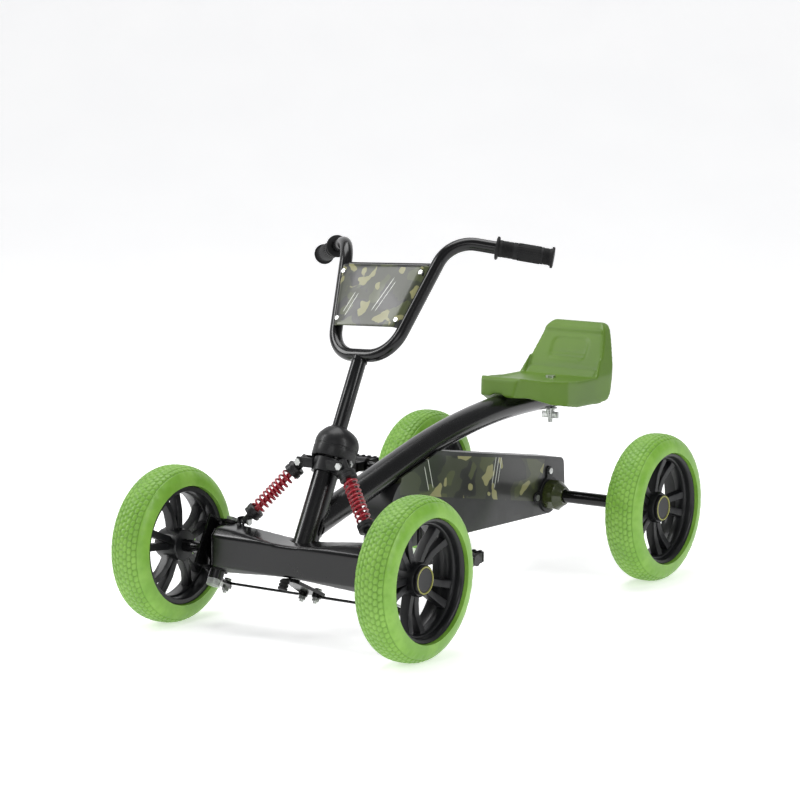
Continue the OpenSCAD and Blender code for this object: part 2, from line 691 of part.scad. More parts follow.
// the two steel plates that carry the crank and the axle, welded under the main tube
module drive_plates() color(steel) for (side = [-1, 1]) mirror([side < 0 ? 1 : 0, 0, 0]) difference() {
    slab_x(drive_plate_in, drive_plate_in + drive_plate_t) {
        translate([crank_y, crank_z]) circle(24);
        translate([crank_y, crank_z]) rotate(line_tilt) translate([0, -18]) square([axis_gap, 36]);
        translate([crank_y - 20, crank_z]) square([100, 74]);
        translate([rear_y, axle_z]) {
            circle(24);
            for (a = [0, 90, 180]) rotate(a) {
                translate([0, -6]) square([flange_bolt_r, 12]);
                translate([flange_bolt_r, 0]) circle(6);
            }
        }
    }
    main_run(main_r);
    // nothing stands above the tube
    slab_x(0, 50) polygon([[-400, bend_z - 370 * tan(main_rise)], [bend_y, bend_z], [bend_y + 100, bend_z + 25],
        [bend_y + 100, 400], [-400, 400]]);
    on_crank() along_x(-50, 50, 10);
    on_axle() {
        along_x(-50, 50, 16);
        for (a = [0, 90, 180]) rotate([a, 0, 0]) translate([0, flange_bolt_r, 0]) along_x(-50, 50, 3.1);
    }
    for (p = post_at) translate([0, p[0], p[1]]) along_x(-50, 50, post_r + seat_gap);
}

module bearing_flanges() color(black) for (side = [-1, 1]) mirror([side < 0 ? 1 : 0, 0, 0]) on_axle() difference() {
    slab_x(guard_half, guard_half + 3) {
        circle(29);
        for (a = [0, 90, 180]) rotate(a) {
            translate([0, -8]) square([flange_bolt_r, 16]);
            translate([flange_bolt_r, 0]) circle(8);
        }
    }
    along_x(0, 50, 16);
    for (a = [0, 90, 180]) rotate([a, 0, 0]) translate([0, flange_bolt_r, 0]) along_x(0, 50, 3.1);
}

module flange_bolts() color(zinc) for (side = [-1, 1]) mirror([side < 0 ? 1 : 0, 0, 0]) on_axle()
    for (a = [0, 90, 180]) rotate([a, 0, 0]) translate([0, flange_bolt_r, 0]) {
        along_x(drive_plate_in - 5, guard_half + 3, 3);
        along_x(guard_half + 3, guard_half + 5, 5);
        along_x(drive_plate_in - 3, drive_plate_in, 5.5, 3);
    }

module axle_bearings() color("gray") for (side = [-1, 1]) mirror([side < 0 ? 1 : 0, 0, 0]) on_axle()
    along_x(drive_plate_in, guard_half + 3, 16 - seat_gap, axle_r + fit);

module axle_cups() color(olive) for (side = [-1, 1]) mirror([side < 0 ? 1 : 0, 0, 0]) on_axle() difference() {
    union() {
        translate([guard_half + 3, 0, 0]) rotate([0, 90, 0]) cylinder(r = 24, h = 17, $fn = 10);
        translate([guard_half + 20, 0, 0]) rotate([0, 90, 0]) cylinder(r1 = 22.5, r2 = 17, h = 8);
        translate([guard_half + 28, 0, 0]) rotate([0, 90, 0]) cylinder(r1 = 17, r2 = 14, h = 4);
    }
    along_x(0, 90, axle_r + 0.5);
    along_x(0, guard_half + 20, 18);
}

module crank_bushes() color("ivory") for (side = [-1, 1]) mirror([side < 0 ? 1 : 0, 0, 0]) on_crank() {
    along_x(drive_plate_in, drive_plate_in + drive_plate_t, 10 - seat_gap, crank_r + fit);
    along_x(drive_plate_in + drive_plate_t, guard_half + 3, 13.5, crank_r + fit);
}

// outline of a loop round both sprockets, at a distance from the pitch line
module chain_loop(d) hull() {
    translate([crank_y, crank_z]) circle(ring_r + d, $fn = 64);
    translate([rear_y, axle_z]) circle(cog_r + d, $fn = 64);
}

module chain() color("dimgray") {
    for (side = [-1, 1]) mirror([side < 0 ? 1 : 0, 0, 0]) slab_x(2.2, 4.2) difference() {
        chain_loop(4);
        chain_loop(-4);
    }
    // pins across the two straight runs
    for (run = [-1, 1]) on_crank() rotate([line_tilt, 0, 0]) rotate([-run * wrap, 0, 0]) translate([0, 0, run * ring_r])
        for (i = [5:1:23]) translate([0, i * pitch, 0]) along_x(-2.2, 2.2, 3.8);
}

module toothed(n, r, bore) slab_x(-1.5, 1.5) difference() {
    circle(r + 3.5, $fn = 64);
    for (i = [0:n - 1]) rotate(360 / n * (i + 0.5)) translate([r, 0]) circle(4.6, $fn = 24);
    circle(bore);
}

module chainring() color(steel) on_crank() difference() {
    union() {
        toothed(ring_teeth, ring_r, crank_r + seat_gap);
        along_x(-6, 6, 11);
    }
    along_x(-10, 10, crank_r);
    for (a = [0:72:288]) rotate([a, 0, 0]) translate([0, 25, 0]) along_x(-5, 5, 6);
}

module rear_sprocket() color(steel) on_axle() difference() {
    union() {
        toothed(rear_teeth, cog_r, axle_r + seat_gap);
        along_x(-6, -1, 15);
        along_x(1, 6, 15);
    }
    along_x(-10, 10, axle_r);
}

module rear_axle() color(steel) on_axle() {
    shoulder = rear_track / 2 - hub_in - gap;
    end = rear_track / 2 + pocket_x + 9;
    along_x(-shoulder, shoulder, axle_r);
    along_x(-end, end, journal_r);
}

module rear_axle_nuts() for (side = [-1, 1]) on_wheel(side, rear_track, rear_y) axle_nut();

module crank() color(steel) on_crank() {
    bent_rod([[-crank_end_x, 0, crank_l], [-crank_x, 0, crank_l], [-crank_x, 0, 0],
        [crank_x, 0, 0], [crank_x, 0, -crank_l], [crank_end_x, 0, -crank_l]], crank_r, 12);
    for (side = [-1, 1]) translate([side * crank_end_x, 0, -side * crank_l]) rotate([0, side * 90, 0])
        cylinder(r = 8.5, h = 4);
}

module pedal(side) color(black) on_crank() translate([0, 0, -side * crank_l]) mirror([side < 0 ? 1 : 0, 0, 0])
    difference() {
        union() {
            along_x(pedal_x0 + 5, pedal_x1, 11);
            for (x = [pedal_x0 + 5, pedal_x1 - 8]) translate([x, -30, -8]) cube([8, 60, 16]);
            for (y = [-30, 23]) translate([pedal_x0 + 5, y, -8]) cube([pedal_x1 - pedal_x0 - 5, 7, 16]);
            for (x = [pedal_x0 + 25, pedal_x1 - 28]) translate([x, -29, -7]) cube([8, 58, 14]);
        }
        along_x(0, 200, crank_r + fit);
    }

// ---- seat ----

module seat_bracket() color(steel) difference() {
    translate([-17, seat_bolt_y - 44, flat_z + main_r - 8]) cube([34, 70, 14]);
    main_run(main_r);
    for (e = [-1, 1]) translate([0, seat_bolt_y + e * seat_travel, flat_z]) cylinder(r = 4.3, h = 80);
    translate([-4.3, seat_bolt_y - seat_travel, flat_z]) cube([8.6, 2 * seat_travel, 80]);
}
pan_under = flat_z + main_r + 6 + gap;

// the seat's shape seen from the front, narrowing towards its rounded top, drawn in by a distance
module seat_front(inset) rotate([90, 0, 0]) linear_extrude(1200, center = true) polygon(concat(
    [[inset - seat_half, 190], [seat_half - inset, 190], [seat_half - inset, 300]],
    arc([seat_half - 38, 360], 22 - inset, 10, 80, 5),
    arc([-seat_half + 38, 360], 22 - inset, 100, 170, 5), [[inset - seat_half, 300]]));

module seat() color("olivedrab") difference() {
    intersection() {
        slab_x(-seat_half, seat_half) polygon([[208, 284], [215, 311], [220, 314], [262, 306], [330, 300], [388, 299],
            [412, 332], [440, 372], [450, 380], [459, 379], [seat_rear, 370], [450, 330], [442, 296], [432, 268],
            [424, 259], [400, 256], [330, 258], [275, 267], [235, 281]]);
        // seen from above
        linear_extrude(600) polygon(concat(
            [[-30, 208], [30, 208], [seat_half - 20, 250], [seat_half, 300]],
            arc([seat_half - 34, 429], 34, 0, 90, 6),
            arc([-seat_half + 34, 429], 34, 90, 180, 6), [[-seat_half, 300], [-seat_half + 20, 250]]));
        seat_front(0);
    }
    // the bucket
    intersection() {
        slab_x(-seat_half + 7, seat_half - 7) polygon([[236, 420], [236, 305.5], [262, 302], [330, pan_z - 3],
            [392, pan_z - 3], [402, 306], [436, 362], [446, 420]]);
        linear_extrude(600) polygon([[-24, 216], [24, 216], [seat_half - 26, 254], [seat_half - 7, 304],
            [seat_half - 7, 425], [seat_half - 20, 470], [-seat_half + 20, 470], [-seat_half + 7, 425],
            [-seat_half + 7, 304], [-seat_half + 26, 254]]);
    }
    // the hollow underneath
    intersection() {
        slab_x(-seat_half + 5, seat_half - 5) polygon([[222, 200], [222, pan_under], [396, pan_under], [441, 362],
            [452, 366], [444, 330], [436, 297], [426, 270], [426, 200]]);
        linear_extrude(600) polygon([[-24, 214], [24, 214], [seat_half - 25, 254], [seat_half - 5, 303],
            [seat_half - 5, 420], [seat_half - 22, 470], [-seat_half + 22, 470], [-seat_half + 5, 420],
            [-seat_half + 5, 303], [-seat_half + 25, 254]]);
        seat_front(5);
    }
    // front arch round the main tube
    translate([0, 180, flat_z - 5]) rotate([-90, 0, 0]) cylinder(r = main_r + 5, h = 70);
    translate([-main_r - 5, 180, 200]) cube([2 * main_r + 10, 70, flat_z - 205]);
    translate([0, seat_bolt_y, 200]) cylinder(r = 4 + seat_gap, h = 200);
}

// the bolt through the pan and the tube, its washer and wing nut
module seat_bolt() color(zinc) translate([0, seat_bolt_y, 0]) {
    translate([0, 0, flat_z - main_r - 24]) cylinder(r = 4, h = pan_z - 3 - flat_z + main_r + 24);
    translate([0, 0, pan_z - 3]) cylinder(r = 8, h = 3);
    translate([0, 0, flat_z - main_r - 2.5]) cylinder(r = 11, h = 2);
    translate([0, 0, flat_z - main_r - 10.5]) cylinder(r = 7, h = 8);
    translate([-15, -2, flat_z - main_r - 17]) cube([30, 4, 10]);
}

centred() front_beam();
centred() head_tube();
centred() main_tube();
centred() tube_end_cap();
centred() shock_collar();
centred() shock_upper_cups();
centred() shock_springs();
centred() shock_rods();
centred() shock_lower_cups();
centred() shock_bolts();
centred() column_cover();
centred() steering_bushes();
centred() kingpin_bushes();
centred() drive_plates();
centred() guard_posts();
centred() guard(1);  // left_guard
centred() guard(-1);  // right_guard
centred() guard_screws();
centred() bearing_flanges();
centred() flange_bolts();
centred() axle_bearings();
centred() axle_cups();
centred() crank_bushes();
centred() chain();
centred() seat_bracket();
centred() steering_column();
centred() handlebar();
centred() stem_bolt();
centred() number_plate();
centred() plate_screws();
centred() grips();
centred() steering_bumper();
centred() pitman_bolts();
centred() tie_rod(1);  // left_tie_rod
centred() tie_rod(-1);  // right_tie_rod
centred() knuckle(1);  // left_knuckle
centred() knuckle_bolts(1);  // left_knuckle_bolts
centred() knuckle(-1);  // right_knuckle
centred() knuckle_bolts(-1);  // right_knuckle_bolts
centred() on_wheel(1, front_track, front_y) rim();  // front_left_rim
centred() on_wheel(1, front_track, front_y) tyre();  // front_left_tyre
centred() on_wheel(1, front_track, front_y) hub_cap();  // front_left_cap
centred() on_wheel(-1, front_track, front_y) rim();  // front_right_rim
centred() on_wheel(-1, front_track, front_y) tyre();  // front_right_tyre
centred() on_wheel(-1, front_track, front_y) hub_cap();  // front_right_cap
centred() on_wheel(1, rear_track, rear_y) rim();  // rear_left_rim
centred() on_wheel(1, rear_track, rear_y) tyre();  // rear_left_tyre
centred() on_wheel(1, rear_track, rear_y) hub_cap();  // rear_left_cap
centred() on_wheel(-1, rear_track, rear_y) rim();  // rear_right_rim
centred() on_wheel(-1, rear_track, rear_y) tyre();  // rear_right_tyre
centred() on_wheel(-1, rear_track, rear_y) hub_cap();  // rear_right_cap
centred() rear_axle();
centred() rear_axle_nuts();
centred() rear_sprocket();
centred() crank();
centred() chainring();
centred() pedal(1);  // left_pedal
centred() pedal(-1);  // right_pedal
centred() seat();
centred() seat_bolt();
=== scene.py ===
import bpy
import bmesh
import json
import math
import random
from mathutils import Vector, Matrix

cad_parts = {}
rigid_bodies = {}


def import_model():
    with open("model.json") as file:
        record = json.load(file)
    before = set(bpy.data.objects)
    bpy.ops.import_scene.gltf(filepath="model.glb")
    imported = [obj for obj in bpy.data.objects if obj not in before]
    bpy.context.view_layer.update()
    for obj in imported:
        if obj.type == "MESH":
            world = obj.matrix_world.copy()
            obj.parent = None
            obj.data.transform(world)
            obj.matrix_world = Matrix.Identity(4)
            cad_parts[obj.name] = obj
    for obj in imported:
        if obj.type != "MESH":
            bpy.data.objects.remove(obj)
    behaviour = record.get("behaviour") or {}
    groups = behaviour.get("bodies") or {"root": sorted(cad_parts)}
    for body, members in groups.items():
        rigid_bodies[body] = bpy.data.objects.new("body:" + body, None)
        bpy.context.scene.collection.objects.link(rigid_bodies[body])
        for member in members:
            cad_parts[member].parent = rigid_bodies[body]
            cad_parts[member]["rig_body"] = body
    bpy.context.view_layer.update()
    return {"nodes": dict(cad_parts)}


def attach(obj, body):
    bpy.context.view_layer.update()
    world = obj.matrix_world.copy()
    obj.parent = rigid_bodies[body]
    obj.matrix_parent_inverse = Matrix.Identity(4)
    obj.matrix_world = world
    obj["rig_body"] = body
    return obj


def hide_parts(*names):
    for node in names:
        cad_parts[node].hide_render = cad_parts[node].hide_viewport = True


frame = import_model()
nodes = frame["nodes"]
random.seed(7)

# places, in millimetres
shiftY = -11.5
frontY, rearY, axleZ = -325 + shiftY, 325 + shiftY, 115
rake, barTurn, barLean, barS = 28, -6, 2.5, 309
crankY, crankZ = -57.62 + shiftY, 147


def lin(r, g, b):
    out = []
    for c in (r, g, b):
        c /= 255
        out.append(c / 12.92 if c < 0.04045 else ((c + 0.055) / 1.055) ** 2.4)
    return (*out, 1.0)


def turn(deg, axis):
    return Matrix.Rotation(math.radians(deg), 4, axis)


toMetres = Matrix.Scale(0.001, 4)
colM = Matrix.Translation((0, -298.5 + shiftY, axleZ)) @ turn(-rake, "X")
barM = colM @ turn(barTurn, "Z") @ Matrix.Translation((0, 0, barS)) @ turn(-barLean, "X")
flipX = Matrix.Diagonal((-1, 1, 1, 1))


# shader maths
class Wire:
    def __init__(self, graph, socket):
        self.graph, self.socket = graph, socket

    def op(self, kind, other=0.0, swap=False, third=None):
        a, b = (other, self) if swap else (self, other)
        ins = {0: a, 1: b}
        if third is not None:
            ins[2] = third
        return self.graph.node("ShaderNodeMath", {"operation": kind}, ins)

    def __add__(self, o): return self.op("ADD", o)
    def __radd__(self, o): return self.op("ADD", o, True)
    def __sub__(self, o): return self.op("SUBTRACT", o)
    def __rsub__(self, o): return self.op("SUBTRACT", o, True)
    def __mul__(self, o): return self.op("MULTIPLY", o)
    def __rmul__(self, o): return self.op("MULTIPLY", o, True)
    def __truediv__(self, o): return self.op("DIVIDE", o)
    def __rtruediv__(self, o): return self.op("DIVIDE", o, True)
    def __gt__(self, o): return self.op("GREATER_THAN", o)
    def __lt__(self, o): return self.op("LESS_THAN", o)
    def __pow__(self, o): return self.op("POWER", o)

    def ramp(self, low, high, outLow=0.0, outHigh=1.0):
        return self.graph.node("ShaderNodeMapRange", {"interpolation_type": "SMOOTHSTEP"},
                               {"Value": self, "From Min": low, "From Max": high, "To Min": outLow,
                               "To Max": outHigh})


class Graph:
    def __init__(self, name):
        self.mat = bpy.data.materials.new(name)
        self.mat.use_nodes = True
        self.tree = self.mat.node_tree
        self.tree.nodes.clear()

    def node(self, kind, settings=None, sockets=None, out=0):
        n = self.tree.nodes.new(kind)
        for k, v in (settings or {}).items():
            setattr(n, k, v)
        for k, v in (sockets or {}).items():
            s = n.inputs[k]
            if isinstance(v, Wire):
                self.tree.links.new(v.socket, s)
            else:
                s.default_value = v
        return Wire(self, n.outputs[out])

    def coord(self, scale=(1, 1, 1), offset=(0, 0, 0)):
        c = self.node("ShaderNodeTexCoord", out=3)
        return self.node("ShaderNodeMapping", {}, {"Vector": c, "Scale": scale, "Location": offset})

    def axis(self, index):
        c = self.node("ShaderNodeTexCoord", out=3)
        return self.node("ShaderNodeSeparateXYZ", {}, {"Vector": c}, out=index)

    def noise(self, vec, scale, detail=3.0, rough=0.5):
        return self.node("ShaderNodeTexNoise", {}, {"Vector": vec, "Scale": scale, "Detail": detail,
            "Roughness": rough})

    def cells(self, vec, scale, feature="F1", out=0):
        return self.node("ShaderNodeTexVoronoi", {"feature": feature}, {"Vector": vec, "Scale": scale},
            out=out)

    def attribute(self, name):
        return self.node("ShaderNodeAttribute", {"attribute_name": name}, {}, out=2)

    def blend(self, factor, a, b, kind="MIX"):
        return self.node("ShaderNodeMix", {"data_type": "RGBA", "blend_type": kind},
            {0: factor, 6: a, 7: b}, out=2)

    def finish(self, base, rough, metal=0.0, coat=0.0, height=None, strength=0.3, distance=0.0005,
        coatRough=0.1, ior=1.5, glow=0.0):
        ins = {"Base Color": base, "Roughness": rough, "Metallic": metal, "Coat Weight": coat,
            "Coat Roughness": coatRough, "IOR": ior}
        if glow:
            ins.update({"Emission Color": (1, 1, 1, 1), "Emission Strength": glow})
        if height is not None:
            ins["Normal"] = self.node("ShaderNodeBump", {},
                {"Strength": strength, "Distance": distance, "Height": height})
        bsdf = self.node("ShaderNodeBsdfPrincipled", {}, ins)
        out = self.tree.nodes.new("ShaderNodeOutputMaterial")
        self.tree.links.new(bsdf.socket, out.inputs["Surface"])
        return self.mat


def paintMaterial(name, colour, rough=0.22, coat=0.6):
    g = Graph(name)
    vec = g.coord()
    broad = g.noise(vec, 9, 4)
    peel = g.noise(vec, 900, 2)
    dust = g.noise(vec, 60, 6, 0.7)
    light = tuple(min(1, c * 1.7 + 0.001) for c in colour[:3]) + (1,)
    tone = g.blend(dust.ramp(0.5, 0.8) * 0.5, colour, light)
    return g.finish(tone, rough + broad.ramp(0.35, 0.7) * 0.1 + dust.ramp(0.55, 0.8) * 0.08, coat=coat,
        height=peel + broad * 2, strength=0.05, ior=1.42)


def plasticMaterial(name, colour, rough=0.5, coat=0.0, grain=1100, depth=0.25):
    g = Graph(name)
    vec = g.coord()
    fine = g.noise(vec, grain, 3, 0.6)
    broad = g.noise(vec, 14, 5, 0.6)
    scuff = g.noise(g.coord((1, 1, 7)), 70, 6, 0.75)
    pale = tuple(min(1, c * 1.35 + 0.004) for c in colour[:3]) + (1,)
    dark = tuple(c * 0.78 for c in colour[:3]) + (1,)
    tone = g.blend(broad.ramp(0.3, 0.7), dark, colour)
    tone = g.blend(scuff.ramp(0.6, 0.82) * 0.35, tone, pale)
    return g.finish(tone, rough + broad.ramp(0.3, 0.75) * 0.1 - scuff.ramp(0.6, 0.8) * 0.06, coat=coat,
        height=fine, strength=depth, distance=0.0002, ior=1.4)


def metalMaterial(name, colour, rough=0.32, brushed=(1, 1, 30)):
    g = Graph(name)
    brush = g.noise(g.coord(brushed), 60, 4, 0.6)
    stain = g.noise(g.coord(), 45, 5, 0.65)
    dull = tuple(c * 0.62 for c in colour[:3]) + (1,)
    tone = g.blend(stain.ramp(0.42, 0.72), colour, dull)
    return g.finish(tone, rough + brush * 0.14 + stain.ramp(0.5, 0.75) * 0.12, metal=1.0, height=brush,
        strength=0.08)


def tyreMaterial(name):
    g = Graph(name)
    vec = g.coord()
    groove = g.attribute("groove")
    mottle = g.noise(vec, 26, 5, 0.6)
    pores = g.cells(vec, 900)
    fine = g.noise(vec, 1300, 3, 0.6)
    tone = g.blend(mottle.ramp(0.35, 0.68), lin(114, 164, 54), lin(132, 180, 72))
    # painted shade: the tread colour is darkened in its grooves and shoulder scallops, in step with groove
    # depth
    tone = g.blend(groove * 0.45, tone, lin(86, 128, 36))
    dirt = g.noise(vec, 150, 6, 0.7)
    tone = g.blend(dirt.ramp(0.62, 0.85) * 0.3, tone, lin(92, 126, 44))
    return g.finish(tone, 0.3 + mottle.ramp(0.3, 0.7) * 0.12 + groove * 0.15,
        height=fine - pores.ramp(0.0, 0.25) * 0.4, strength=0.22, distance=0.0003)


def seatMaterial(name):
    g = Graph(name)
    vec = g.coord()
    grain = g.cells(vec, 620, "F1")
    broad = g.noise(vec, 8, 4)
    scuff = g.noise(g.coord((1, 8, 1)), 60, 6, 0.75)
    tone = g.blend(broad.ramp(0.3, 0.7), lin(84, 117, 28), lin(96, 130, 38))
    tone = g.blend(scuff.ramp(0.63, 0.85) * 0.3, tone, lin(122, 152, 66))
    return g.finish(tone, 0.36 + broad.ramp(0.3, 0.7) * 0.1 + scuff.ramp(0.6, 0.8) * 0.1, height=grain,
        strength=0.18, distance=0.0003)


def camoMaterial(name, axisY, axisZ, patch, paleStreaks, mask=None, under=None, coat=0.35):
    g = Graph(name)
    vec = g.coord()
    warp = g.node("ShaderNodeTexNoise", {}, {"Vector": vec, "Scale": patch * 1.6, "Detail": 2.0}, out=1)
    warped = g.node("ShaderNodeVectorMath", {"operation": "MULTIPLY_ADD"},
        {0: warp, 1: (0.03, 0.03, 0.03), 2: vec})
    one = g.noise(warped, patch, 1.5)
    two = g.noise(g.node("ShaderNodeVectorMath", {"operation": "ADD"}, {0: warped, 1: (3.1, 1.7, 5.3)}),
        patch * 1.2, 1.5)
    three = g.noise(g.node("ShaderNodeVectorMath", {"operation": "ADD"}, {0: warped, 1: (7.7, 4.2, 1.1)}),
        patch * 1.5, 1.2)
    tone = g.blend(one.ramp(0.5, 0.515), lin(24, 25, 23), lin(48, 52, 36))
    tone = g.blend(two.ramp(0.57, 0.58), tone, lin(66, 72, 42))
    tone = g.blend(three.ramp(0.61, 0.62), tone, lin(134, 132, 90))
    # thin pale slanted lines, faded at their ends; on the number plate they are painted highlight streaks
    y, z = g.axis(axisY), g.axis(axisZ)
    for y0, z0, slope, length, wide in paleStreaks:
        along = (z - z0) / length
        across = ((y - y0 - (z - z0) * slope) / wide).op("ABSOLUTE")
        line = across.ramp(0.5, 1.0, 1.0, 0.0) * along.op("ABSOLUTE").ramp(0.4, 0.5, 1.0, 0.0)
        tone = g.blend(line, tone, lin(205, 208, 200))
    rough = 0.32 + one.ramp(0.4, 0.6) * 0.08
    fine = g.noise(vec, 900, 2)
    if mask is not None:
        show = mask(g)
        body = g.blend(g.noise(vec, 20, 5).ramp(0.35, 0.7), lin(30, 30, 32), lin(42, 42, 44))
        tone = g.blend(show, body, tone)
        rough = rough + (1 - show) * 0.12
    return g.finish(tone, rough, coat=coat, height=fine, strength=0.06)


steel = paintMaterial("frame_steel", lin(7, 7, 8), 0.18, 0.12)
spring = paintMaterial("spring_steel", lin(150, 14, 34), 0.25, 0.5)
zinc = metalMaterial("zinc_steel", lin(205, 207, 205), 0.24)
bearing = metalMaterial("bearing_steel", lin(150, 150, 152), 0.3)
chainMat = metalMaterial("chain_steel", lin(86, 84, 80), 0.36, (6, 1, 1))
black = plasticMaterial("black_plastic", lin(16, 16, 18), 0.4, 0.1)
rimBlack = plasticMaterial("rim_plastic", lin(17, 18, 20), 0.36, 0.15)
rubber = plasticMaterial("grip_rubber", lin(15, 15, 16), 0.62, 0.0, 700, 0.4)
guardPlain = plasticMaterial("guard_plastic", lin(26, 26, 28), 0.4, 0.2)
olive = plasticMaterial("olive_plastic", lin(54, 62, 26), 0.2, 0.5, 1400, 0.08)
ringGold = plasticMaterial("ring_plastic", lin(150, 150, 74), 0.35, 0.2)
ivory = plasticMaterial("bush_plastic", lin(214, 208, 190), 0.45)
tyreMat = tyreMaterial("tyre_foam")
seatMat = seatMaterial("seat_plastic")
print("materials ready")


# mesh helpers, all in millimetres
def sweep(bm, path, radius, sides=24, close=False, flat=None):
    # a tube along a list of points, its ring carried along without twist
    pts = [Vector(p) for p in path]
    n = len(pts)
    rings = []
    prev = None
    for i, p in enumerate(pts):
        if close:
            t = (pts[(i + 1) % n] - pts[i - 1]).normalized()
        else:
            t = (pts[min(i + 1, n - 1)] - pts[max(i - 1, 0)]).normalized()
        if prev is None:
            side = t.orthogonal().normalized()
        else:
            side = (prev - t * prev.dot(t)).normalized()
        prev = side
        up = t.cross(side)
        r = radius(i / (n - 1)) if callable(radius) else radius
        rings.append([bm.verts.new(p + (side * math.cos(a) + up * math.sin(a)) * r)
                      for a in (2 * math.pi * k / sides for k in range(sides))])
    pairs = list(zip(rings, rings[1:])) + ([(rings[-1], rings[0])] if close else [])
    for a, b in pairs:
        for k in range(sides):
            bm.faces.new((a[k], a[(k + 1) % sides], b[(k + 1) % sides], b[k]))
    if not close:
        bm.faces.new(reversed(rings[0]))
        bm.faces.new(rings[-1])
    return rings


def lathe(bm, profile, sides=96, axis="X", closed=True, matrix=None):
    # turns a profile of (radius, along) about an axis through the origin
    made = []
    verts = []
    for r, x in profile:
        verts.append(bm.verts.new((x, r, 0) if axis == "X" else (r, 0, x)))
    edges = [bm.edges.new((verts[i], verts[i + 1])) for i in range(len(verts) - 1)]
    if closed:
        edges.append(bm.edges.new((verts[-1], verts[0])))
    before = set(bm.verts)
    bmesh.ops.spin(bm, geom=verts + edges, cent=(0, 0, 0), axis=(1, 0, 0) if axis == "X" else (0, 0, 1),
                   angle=2 * math.pi, steps=sides, use_merge=True)
    made = [v for v in bm.verts if v not in before] + verts
    bmesh.ops.remove_doubles(bm, verts=made, dist=1e-4)
    made = [v for v in made if v.is_valid]
    if matrix is not None:
        bmesh.ops.transform(bm, matrix=matrix, verts=made)
    return made


def block(bm, low, high, bevel=0.0, matrix=None):
    made = bmesh.ops.create_cube(bm, size=1)["verts"]
    size = [h - l for l, h in zip(low, high)]
    mid = [(h + l) / 2 for l, h in zip(low, high)]
    bmesh.ops.transform(bm, matrix=Matrix.Translation(mid) @ Matrix.Diagonal((*size, 1)), verts=made)
    if bevel:
        edges = {e for v in made for e in v.link_edges}
        made = list({v for f in bmesh.ops.bevel(bm, geom=list(edges), offset=bevel, segments=2,
            affect="EDGES", profile=0.6)["faces"] for v in f.verts})
        made = list({v for m in made for e in m.link_edges for v in e.verts})
    if matrix is not None:
        bmesh.ops.transform(bm, matrix=matrix, verts=made)
    return made


def prism(bm, outline, low, high, axis="X", bevel=0.0, matrix=None):
    # a closed outline of two coordinates, drawn out along an axis, with bevelled rims
    def point(a, b, c):
        return (c, a, b) if axis == "X" else (a, c, b) if axis == "Y" else (a, b, c)
    verts = [bm.verts.new(point(a, b, low)) for a, b in outline]
    face = bm.faces.new(verts)
    out = bmesh.ops.extrude_face_region(bm, geom=[face])["geom"]
    top = [v for v in out if isinstance(v, bmesh.types.BMVert)]
    bmesh.ops.translate(bm, vec=Vector(point(0, 0, high - low)), verts=top)
    made = verts + top
    if bevel:
        rims = set()
        for group in (set(verts), set(top)):
            rims |= {e for v in group for e in v.link_edges if e.other_vert(v) in group}
        made = set(made)
        got = bmesh.ops.bevel(bm, geom=list(rims), offset=bevel, segments=2, affect="EDGES", profile=0.6)
        made = {v for v in made if v.is_valid} | set(got["verts"])
        made = list(made)
    if matrix is not None:
        bmesh.ops.transform(bm, matrix=matrix, verts=made)
    return made


def smoothPath(points, radii, step=6):
    # rounds the corners of a polyline with arcs
    pts = [Vector(p) for p in points]
    out = [pts[0]]
    for i in range(1, len(pts) - 1):
        a, b, c = pts[i - 1], pts[i], pts[i + 1]
        d1, d2 = (b - a).normalized(), (c - b).normalized()
        ang = d1.angle(d2)
        cut = radii[i - 1] * math.tan(ang / 2)
        s = b - d1 * cut
        n = d1.cross(d2).normalized()
        m = n.cross(d1)
        centre = s + m * radii[i - 1]
        k = max(2, int(math.degrees(ang) / step) + 1)
        for j in range(k + 1):
            t = ang * j / k
            out.append(centre - m * radii[i - 1] * math.cos(t) + d1 * radii[i - 1] * math.sin(t))
    out.append(pts[-1])
    return out


def fromBmesh(name, bm, material, body, replaced=(), matrix=None, angle=38, scale=True):
    if matrix is not None:
        bmesh.ops.transform(bm, matrix=matrix, verts=bm.verts)
    if scale:
        bmesh.ops.transform(bm, matrix=toMetres, verts=bm.verts)
    bmesh.ops.recalc_face_normals(bm, faces=bm.faces)
    mesh = bpy.data.meshes.new(name)
    bm.to_mesh(mesh)
    bm.free()
    for m in material if isinstance(material, list) else [material]:
        mesh.materials.append(m)
    mesh.shade_smooth()
    mesh.set_sharp_from_angle(angle=math.radians(angle))
    obj = bpy.data.objects.new(name, mesh)
    bpy.context.scene.collection.objects.link(obj)
    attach(obj, body)
    if replaced:
        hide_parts(*replaced)
    return obj


def addModifier(obj, kind, **settings):
    m = obj.modifiers.new(kind.lower(), kind)
    for k, v in settings.items():
        setattr(m, k, v)
    return m


def refined(node, material, width=0.0005, segments=2, name=None):
    # a copy of a CAD node with its seams merged and its hard edges rounded
    bm = bmesh.new()
    bm.from_mesh(nodes[node].data)
    bmesh.ops.remove_doubles(bm, verts=bm.verts, dist=2e-6)
    bmesh.ops.dissolve_limit(bm, angle_limit=math.radians(0.5), verts=bm.verts, edges=bm.edges)
    bmesh.ops.triangulate(bm, faces=[f for f in bm.faces if len(f.verts) > 4])
    obj = fromBmesh(name or node + "_fine", bm, material, nodes[node]["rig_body"], (node,),
        scale=False, angle=32)
    if width:
        addModifier(obj, "BEVEL", width=width, segments=segments, limit_method="ANGLE",
            angle_limit=math.radians(40), harden_normals=False)
    return obj


